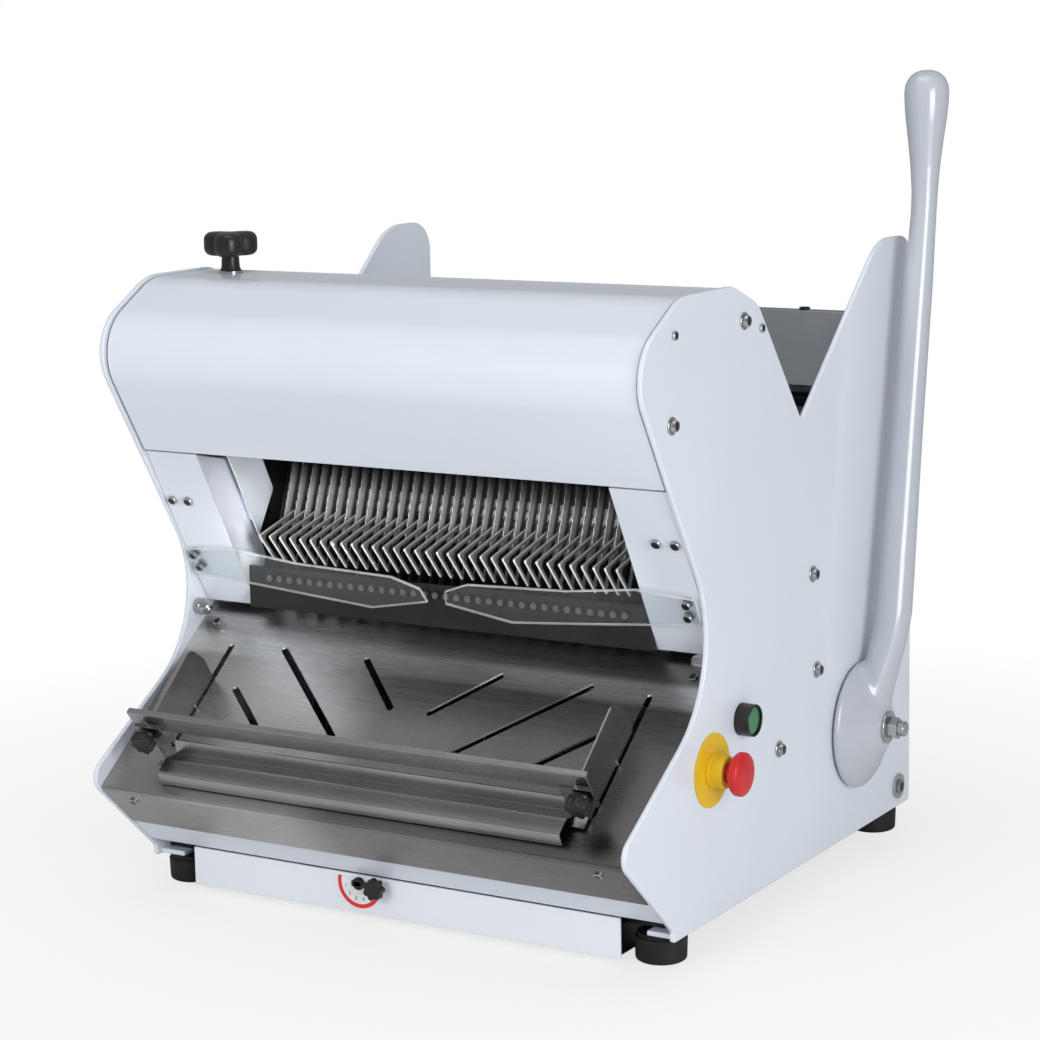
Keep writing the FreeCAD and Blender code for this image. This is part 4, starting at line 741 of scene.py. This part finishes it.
# %% One skin, with a fillet where they join
only(casting)
skin = casting.modifiers.new("skin", "REMESH")
skin.mode = "VOXEL"
skin.voxel_size = 0.0018
bpy.ops.object.modifier_apply(modifier=skin.name)
junction = casting.vertex_groups.new(name="junction")
for vertex in casting.data.vertices:
    height = vertex.co.z * 1000 - PIVOT[1]
    reach = min(max((height - 8) / 25, 0), 1) * min(max((150 - height) / 40, 0), 1)
    rim = min(max((vertex.co.x - at(297, 0, 0).x) / 0.004, 0), 1)
    junction.add([vertex.index], reach * rim, "REPLACE")
for name, rounds, group in (("even", 6, ""), ("fillet", 60, "junction")):
    soften = casting.modifiers.new(name, "SMOOTH")
    soften.factor = 0.5
    soften.iterations = rounds
    soften.vertex_group = group
    bpy.ops.object.modifier_apply(modifier=soften.name)
casting = finished(casting, lever_paint, "lever", 0.0, smooth=60)
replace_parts(casting, "feed_lever")
print("lever reaches", round(max(v.co.z for v in casting.data.vertices), 3), "m")

# %% [markdown]
# ## Lever bolt
# A stud comes out of the disc, with a washer and a hexagon nut on it. The nut is turned with six sides
# instead of forty-eight, which is all that makes a hexagon.

# %% Lever bolt
bolt = turned("lever_nut", at(322, *PIVOT), (1, 0, 0), [(0, 15.4), (0.5, 16), (2.5, 16), (3, 15.4)], 48)
nut = turned("nut", at(325, *PIVOT), (1, 0, 0), [(0, 10.6), (0.6, 11), (9.4, 11), (10, 10.4)], 6)
stud = turned("stud", at(335, *PIVOT), (1, 0, 0), [(0, 7.6), (6, 7.6), (7, 6.6)], 32)
bolt_set = finished(merged("lever_nut_set", bolt, nut, stud), bright_steel, "lever", 0.0003)
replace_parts(bolt_set, "lever_bolt")
print("lever bolt set")

# %% [markdown]
# ## Moulded knobs
# A grip knob has rounded lobes around a round core. The points of a many-sided cylinder are moved in and
# out by a wave that runs around the axis, which makes the scallops. Both end rims are then beveled in
# several steps, so that the lobes roll over softly, and a short turned neck carries the grip.

# %% Lobed knob
def lobed(name, place, axis, lobes, radius, hollow, depth, start, stem, soft, turn=0.0):
    """Knob with rounded lobes; hollow is the radius between two lobes, soft the rounding of its rims."""
    count = max(lobes * 8, 60)
    bpy.ops.object.select_all(action="DESELECT")
    bpy.ops.mesh.primitive_cylinder_add(vertices=count, radius=radius / 1000, depth=depth / 1000,
                                        location=(0, 0, (start + depth / 2) / 1000))
    grip = bpy.context.active_object
    bpy.ops.object.transform_apply(location=True)
    bpy.ops.object.mode_set(mode="EDIT")
    mesh = bmesh.from_edit_mesh(grip.data)
    for vertex in mesh.verts:
        angle = math.atan2(vertex.co.y, vertex.co.x)
        wave = 0.5 + 0.5 * math.cos(lobes * (angle - turn))
        reach = (hollow + (radius - hollow) * wave ** 0.6) / radius
        vertex.co.x *= reach
        vertex.co.y *= reach
    ends = [face for face in mesh.faces if abs(face.normal.z) > 0.9]
    for face in mesh.faces:
        face.select = face in ends
    bmesh.update_edit_mesh(grip.data)
    bpy.ops.mesh.region_to_loop()
    bpy.ops.mesh.bevel(offset=soft, segments=5)
    bpy.ops.object.mode_set(mode="OBJECT")
    grip.matrix_world = Matrix.Translation(place) @ Vector(axis).to_track_quat("Z", "Y").to_matrix().to_4x4()
    only(grip)
    bpy.ops.object.transform_apply(location=True, rotation=True, scale=True)
    neck = turned("neck", place, axis, [(0, stem * 1.15), (start * 0.25, stem), (start + 1, stem * 0.92)], 32)
    return merged(name, grip, neck)


print("mould ready:", lobed.__name__)

# %% Hood knob and the two star knobs
hood_knob_grip = lobed("hood_knob_grip", at(-240, 94, 596), (0, 0, 1), 3, 28, 15.5, 23, 14, 9, 0.0075,
                       math.radians(1))
hood_knob_washer = turned("hood_washer", at(-240, 94, 594), (0, 0, 1),
                          [(0, 11.6), (0.4, 12), (1.6, 12), (2, 11.6)])
finished(hood_knob_washer, bright_steel, "hood_knob")
hood_knob_grip = finished(hood_knob_grip, black_plastic, "hood_knob", 0.0, 3, 60)
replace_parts(hood_knob_grip, "hood_knob")
down = on_tray(0, -1, 0) - on_tray(0, 0, 0)
star = lobed("star_grip", (0, 0, 0), (0, 0, 1), 7, 12, 9.4, 11, 4, 6, 0.0016)
grips = copies(star, [(on_tray(side * 237, 46, 33), down) for side in (1, -1)])
for grip, word in zip(grips, ("right", "left")):
    grip.name = grip.data.name = f"stop_grip_{word}"
    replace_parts(finished(grip, black_plastic, f"knob_{word}", 0.0, 3, 60), f"stop_knob_{word}")
print("knobs moulded")

# %% [markdown]
# ## Start button and emergency stop
# The start button is a green lens sunk in a black bezel. The emergency stop is a red mushroom on a
# yellow collar and plate. Both are turned; the lens and the mushroom have the shallow dome of moulded
# caps, and the mushroom's rim has a small groove.

# %% Start button
button_place = at(SIDE, 133, 200)
bezel = turned("button_bezel", button_place, (1, 0, 0),
               [(0, 15), (2, 15), (2.2, 14.6), (3, 14.6), (3.2, 15), (14.2, 15), (15, 14.4), (15, 13.8),
                (14.6, 13.4), (4, 13.4), (4, 0.5)])
bezel = finished(bezel, black_plastic, "machine", 0.0, smooth=30)
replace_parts(bezel, "start_button_bezel")
lens = turned("button_lens", button_place, (1, 0, 0),
              [(8, 13.1), (12, 13.1), (12.9, 12.4), (13.3, 9), (13.45, 5), (13.5, 1)])
lens = finished(lens, green_lens, "start_cap", 0.0, smooth=40)
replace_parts(lens, "start_button_cap")
print("start button", round(bezel.dimensions.z, 4), "m across")

# %% Emergency stop
stop_place = at(SIDE, 74, 166)
plate = turned("stop_plate", stop_place, (1, 0, 0), [(0, 33.6), (0.3, 34), (1.2, 34), (1.5, 33.6)], 72)
collar = turned("stop_collar", stop_place, (1, 0, 0),
                [(1.5, 16), (4.4, 16), (5, 15.2), (15.8, 15.0), (17, 14), (17, 9.4), (6, 9.3), (6, 1)])
stop_base = finished(merged("stop_plate_and_collar", plate, collar), yellow_plastic, "machine", 0.0, smooth=30)
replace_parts(stop_base, "stop_base")
mushroom = turned("stop_mushroom", stop_place, (1, 0, 0),
                  [(12.3, 8.6), (23, 8.8), (23.4, 14.6), (24.6, 17.6), (26.4, 19.4), (27.4, 19.9), (28.2, 19.5),
                   (28.8, 19.5), (29.6, 20), (32, 19.9), (33.6, 18.6), (34.8, 15.6), (35.5, 11), (35.9, 5),
                   (36, 1)], 64)
mushroom = finished(mushroom, red_plastic, "stop_head", 0.0, smooth=40)
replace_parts(mushroom, "stop_head")
print("emergency stop", round(mushroom.dimensions.z, 4), "m across")

# %% [markdown]
# ## Dial on the drawer
# A half-round white plate carries a red ring and plain numbers, and a pointer with a small grip knob
# turns in front of it. The ring is a narrow band of faces laid a hair above the plate, and the numbers
# are text turned into mesh, so that they stay sharp at any size.

# %% Half discs
DIAL = (-42, 34)                     # X and Z of the dial's centre


def half_disc(name, inner, outer, front, thick, top=5.0, steps=48):
    """Band of a disc below a level line, facing the front."""
    bpy.ops.object.select_all(action="DESELECT")
    bpy.ops.mesh.primitive_cylinder_add(vertices=steps * 2, radius=outer / 1000, depth=thick / 1000,
                                        location=at(DIAL[0], -front - thick / 2, DIAL[1]),
                                        rotation=(math.pi / 2, 0, 0))
    piece = bpy.context.active_object
    piece.name = piece.data.name = name
    bpy.ops.object.transform_apply(location=True, rotation=True)
    bpy.ops.object.mode_set(mode="EDIT")
    mesh = bmesh.from_edit_mesh(piece.data)
    for face in mesh.faces:
        face.select = abs(face.normal.y) > 0.9
    bmesh.update_edit_mesh(piece.data)
    if inner:
        bpy.ops.mesh.inset(thickness=(outer - inner) / 1000)
        bpy.ops.mesh.delete(type="FACE")
        mesh = bmesh.from_edit_mesh(piece.data)
        for edge in mesh.edges:
            edge.select = edge.is_boundary
        bmesh.update_edit_mesh(piece.data)
        bpy.ops.mesh.bridge_edge_loops()
    bpy.ops.mesh.select_all(action="SELECT")
    bpy.ops.mesh.bisect(plane_co=at(DIAL[0], 0, DIAL[1] + top), plane_no=(0, 0, 1), use_fill=True,
                        clear_outer=True)
    bpy.ops.object.mode_set(mode="OBJECT")
    return piece


dial = finished(half_disc("dial_face", 0, 26, 3, 1.0), plate_white, "drawer", 0.0002)
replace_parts(dial, "dial_plate")
ring = finished(half_disc("dial_ring", 20.5, 24.5, 4.0, 0.15), plate_red, "drawer")
print("dial plate", round(dial.dimensions.x, 4), "m and ring", round(ring.dimensions.x, 4), "m wide")

# %% Dial numbers
NUMBER_RADIUS = 16
numerals = []
for mark in range(1, 7):
    angle = math.radians(180 + (mark - 0.5) * 30)
    bpy.ops.object.text_add(rotation=(math.pi / 2, 0, 0))
    text = bpy.context.active_object
    text.data.body = str(mark)
    text.data.size = 0.0052
    text.data.align_x = "CENTER"
    text.data.align_y = "CENTER"
    text.data.extrude = 0.00006
    text.location = at(DIAL[0] + NUMBER_RADIUS * math.cos(angle), -4.06,
                       DIAL[1] + NUMBER_RADIUS * math.sin(angle))
    bpy.ops.object.convert(target="MESH")
    numerals.append(bpy.context.active_object)
finished(merged("dial_numbers", *numerals), plate_ink, "drawer")
print("dial numbers:", len(numerals))

# %% [markdown]
# ## Pointer of the dial
# A bar with softened edges turns on a low hub, and a small star grip stands on its longer side. The bar
# is a cube stretched to its length; the three are joined to one piece, which rides on the dial's body.

# %% Dial pointer
pointer = turned("dial_hub", at(DIAL[0], -4.2, DIAL[1]), (0, -1, 0), [(0, 6), (3, 6), (3.7, 5.4), (4, 4)])
bpy.ops.object.select_all(action="DESELECT")
bpy.ops.mesh.primitive_cube_add(size=0.001, location=at(DIAL[0] + 9.5, -6.95, DIAL[1]), scale=(33, 2.5, 6))
arm = bpy.context.active_object
bpy.ops.object.transform_apply(location=True, scale=True)
bpy.ops.object.mode_set(mode="EDIT")
bpy.ops.mesh.select_all(action="SELECT")
bpy.ops.mesh.bevel(offset=0.0009, segments=3)
bpy.ops.object.mode_set(mode="OBJECT")
grip = lobed("dial_grip", at(DIAL[0] + 23, -7.7, DIAL[1]), (0, -1, 0), 7, 10.5, 8.2, 9, 2, 5, 0.0012)
pointer = finished(merged("dial_pointer_set", pointer, arm, grip), black_plastic, "dial", 0.0, 2, 50)
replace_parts(pointer, "dial_pointer")
print("pointer on the dial")

# %% [markdown]
# ## Blades
# A bread blade is a thin strip with shallow scallops along its cutting edge. For each frame one strip is
# made from a flat rectangle: its long edges are subdivided, every other point of the front edge is drawn
# back, and Solidify gives the sheet's thickness. A block at each end is its tab to the frame's bar. The
# blade is then duplicated across the frame, each copy with its own mesh.

# %% One blade
def blade_place(x, up, back):
    """Up along the leaning blades from their middle, and back from their centre line."""
    return at(x, 130 + up * math.sin(LEAN) + back * math.cos(LEAN),
              362 + up * math.cos(LEAN) - back * math.sin(LEAN))


def blade_strip(x, low, high):
    """Scalloped strip between its two frame bars."""
    teeth = int((high - low) / 9)
    bpy.ops.object.select_all(action="DESELECT")
    bpy.ops.mesh.primitive_plane_add(size=1, location=(0, 0, 0))
    strip = bpy.context.active_object
    bpy.ops.object.mode_set(mode="EDIT")
    mesh = bmesh.from_edit_mesh(strip.data)
    front = [e for e in mesh.edges if all(v.co.x < 0 for v in e.verts)]
    back = [e for e in mesh.edges if all(v.co.x > 0 for v in e.verts)]
    bmesh.ops.subdivide_edges(mesh, edges=front + back, cuts=teeth * 2 - 1, use_grid_fill=True)
    for vertex in mesh.verts:
        step = round((vertex.co.y + 0.5) * teeth * 2)
        up = low + (high - low) * (vertex.co.y + 0.5)
        deep = 7.5 if vertex.co.x > 0 else (-6.3 if step % 2 else -7.5)
        vertex.co = blade_place(x, up, deep)
    bmesh.update_edit_mesh(strip.data)
    bpy.ops.object.mode_set(mode="OBJECT")
    thick = strip.modifiers.new("thick", "SOLIDIFY")
    thick.thickness = 0.0008
    thick.offset = 0
    bpy.ops.object.modifier_apply(modifier=thick.name)
    return strip


def blade_tab(x, low, near, far):
    """Block that holds a blade to its bar, twelve millimetres high."""
    bpy.ops.object.select_all(action="DESELECT")
    bpy.ops.mesh.primitive_cube_add(size=1)
    tab = bpy.context.active_object
    for vertex in tab.data.vertices:
        vertex.co = blade_place(x + vertex.co.x * 0.8, low + 12 * (vertex.co.z + 0.5),
                                near + (far - near) * (vertex.co.y + 0.5))
    return tab


print("blade tools ready:", blade_strip.__name__, blade_tab.__name__)

# %% Blades across both frames
BLADE_STEP = 0.024
for body, node, low, top, count in (("front_frame", "blades_front", -64, 118, 18),
                                    ("rear_frame", "blades_rear", -90, 144, 17)):
    blade = merged("blade", blade_strip(0, low, top + 12), blade_tab(0, low, 7.0, 17.4),
                   blade_tab(0, top, -17.4, -7.0))
    places = [Vector(((k - (count - 1) / 2) * BLADE_STEP, 0, 0)) for k in range(count)]
    blade_set = merged(node + "_set", *copies(blade, [(place, (0, 0, 1)) for place in places]))
    only(blade_set)
    bpy.ops.object.mode_set(mode="EDIT")
    bpy.ops.mesh.select_all(action="SELECT")
    bpy.ops.mesh.normals_make_consistent(inside=False)
    bpy.ops.object.mode_set(mode="OBJECT")
    finished(blade_set, blade_steel if body == "front_frame" else shaded_rear_blade_steel, body, 0.0, smooth=20)
    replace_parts(blade_set, node)
    print(node, count, "blades")

# %% [markdown]
# ## Floor
# A plain pale floor stands in for a studio. The camera sees its shadows through a white glow, which is
# weaker near the machine and hides the floor's own colour further out, so that the floor runs into the
# white world without a line. Other rays see the plain floor everywhere.

# %% Floor
bpy.ops.object.select_all(action="DESELECT")
bpy.ops.mesh.primitive_plane_add(size=14, location=(0, 0, -0.0005))
floor = bpy.context.active_object
floor.name = "studio_floor"
floor_finish, floor_tree, floor_shader = new_finish("studio_floor_finish", (0.80, 0.80, 0.80), 0.7)
glow = floor_tree.nodes.new("ShaderNodeEmission")
glow.inputs["Strength"].default_value = 1.0
path = floor_tree.nodes.new("ShaderNodeLightPath")
spot = floor_tree.nodes.new("ShaderNodeTexCoord")
reach = floor_tree.nodes.new("ShaderNodeVectorMath")
reach.operation = "LENGTH"
fade = floor_tree.nodes.new("ShaderNodeMapRange")
fade.inputs["From Min"].default_value = 0.35
fade.inputs["From Max"].default_value = 1.1
fade.inputs["To Min"].default_value = 0.72
fade.inputs["To Max"].default_value = 1.0
share = floor_tree.nodes.new("ShaderNodeMath")
share.operation = "MULTIPLY"
blend = floor_tree.nodes.new("ShaderNodeMixShader")
floor_tree.links.new(spot.outputs["Object"], reach.inputs[0])
floor_tree.links.new(reach.outputs["Value"], fade.inputs["Value"])
floor_tree.links.new(path.outputs["Is Camera Ray"], share.inputs[0])
floor_tree.links.new(fade.outputs["Result"], share.inputs[1])
floor_tree.links.new(share.outputs[0], blend.inputs[0])
floor_tree.links.new(floor_shader.outputs[0], blend.inputs[1])
floor_tree.links.new(glow.outputs[0], blend.inputs[2])
floor_tree.links.new(blend.outputs[0], floor_tree.nodes["Material Output"].inputs["Surface"])
floor.data.materials.append(floor_finish)
print("floor laid", round(floor.dimensions.x, 1), "m wide")

# %% [markdown]
# ## World
# The camera sees a plain white world. Everything else sees a soft grey one, a little darker towards the
# horizon and below it, which polished steel mirrors and which fills the shadows.

# %% World
world = bpy.data.worlds.new("studio_world")
bpy.context.scene.world = world
world.use_nodes = True
sky = world.node_tree
for item in list(sky.nodes):
    sky.nodes.remove(item)
ray = sky.nodes.new("ShaderNodeLightPath")
direction = sky.nodes.new("ShaderNodeTexCoord")
split = sky.nodes.new("ShaderNodeSeparateXYZ")
ramp = sky.nodes.new("ShaderNodeValToRGB")
ramp.color_ramp.elements[0].position = 0.0
ramp.color_ramp.elements[0].color = (0.55, 0.55, 0.56, 1)
ramp.color_ramp.elements[1].position = 0.75
ramp.color_ramp.elements[1].color = (0.66, 0.68, 0.70, 1)
room = sky.nodes.new("ShaderNodeBackground")
room.inputs["Strength"].default_value = 0.6
white = sky.nodes.new("ShaderNodeBackground")
white.inputs["Color"].default_value = (1, 1, 1, 1)
choose = sky.nodes.new("ShaderNodeMixShader")
result = sky.nodes.new("ShaderNodeOutputWorld")
sky.links.new(direction.outputs["Generated"], split.inputs[0])
sky.links.new(split.outputs["Z"], ramp.inputs["Fac"])
sky.links.new(ramp.outputs["Color"], room.inputs["Color"])
sky.links.new(ray.outputs["Is Camera Ray"], choose.inputs[0])
sky.links.new(room.outputs[0], choose.inputs[1])
sky.links.new(white.outputs[0], choose.inputs[2])
sky.links.new(choose.outputs[0], result.inputs["Surface"])
print("world ready:", world.name)

# %% [markdown]
# ## Lamps
# Large soft lamps above, in front and at the right light the machine at a plain level, and a narrow one
# at the right reaches into the slicing opening. A weak strip lamp low in front of the opening lifts the
# blades out of the dark. The front, narrow and strip lamps are hidden from mirrored rays, so they leave
# no bright patch on the steel, and the strip, which is in view, is hidden from the camera.

# %% Lamps
def softbox(name, place, aim, wide, high, power):
    """Rectangular lamp that looks at aim; power is in watts."""
    lamp = bpy.data.lights.new(name, "AREA")
    lamp.shape = "RECTANGLE"
    lamp.size, lamp.size_y = wide, high
    lamp.energy = power
    holder = bpy.data.objects.new(name, lamp)
    bpy.context.scene.collection.objects.link(holder)
    holder.location = place
    holder.rotation_euler = (Vector(aim) - Vector(place)).to_track_quat("-Z", "Y").to_euler()
    return holder


softbox("lamp_top", (0.0, -0.4, 2.6), (0, 0, 0.3), 1.6, 1.2, 12)
softbox("lamp_right", (2.3, -1.3, 0.8), (0, 0, 0.35), 1.2, 1.2, 32)
front = softbox("lamp_front", (-0.5, -2.6, 1.1), (0, 0, 0.35), 1.4, 0.9, 22)
narrow = softbox("lamp_opening", (2.2, -1.1, 0.22), at(-225, 84, 338), 0.12, 0.12, 0.042)
narrow.data.spread = math.radians(4.4)
strip = softbox("lamp_strip", at(0, -60, 300), at(0, 125, 372), 0.42, 0.03, 0.06)
strip.data.spread = math.radians(50)
strip.visible_camera = False
for lamp in (front, narrow, strip):
    lamp.visible_glossy = False

# %% [markdown]
# ## Camera
# The camera looks from the front right and a little from above, with a long lens, so that the machine
# isn't distorted. Its three axes are built from the direction of view, and a small roll is mixed into
# the two axes of the picture.

# %% Camera
view = bpy.data.cameras.new("studio_camera")
view.sensor_fit = "HORIZONTAL"
view.sensor_width = 36
view.lens = 97.5
camera = bpy.data.objects.new("studio_camera", view)
bpy.context.scene.collection.objects.link(camera)
yaw, pitch, roll = math.radians(31.087), math.radians(10.219), math.radians(-1.045)
forward = Vector((-math.sin(yaw) * math.cos(pitch), math.cos(yaw) * math.cos(pitch), -math.sin(pitch)))
right = forward.cross(Vector((0, 0, 1))).normalized()
up = right.cross(forward)
tilted_right = right * math.cos(roll) + up * math.sin(roll)
tilted_up = up * math.cos(roll) - right * math.sin(roll)
camera.matrix_world = Matrix.Translation(at(1407.7, -2104.1, 837.3)) @ Matrix(
    (tilted_right, tilted_up, -forward)).transposed().to_4x4()
bpy.context.scene.camera = camera
bpy.context.scene.view_settings.view_transform = "Standard"
print("camera at", [round(v, 3) for v in camera.location])
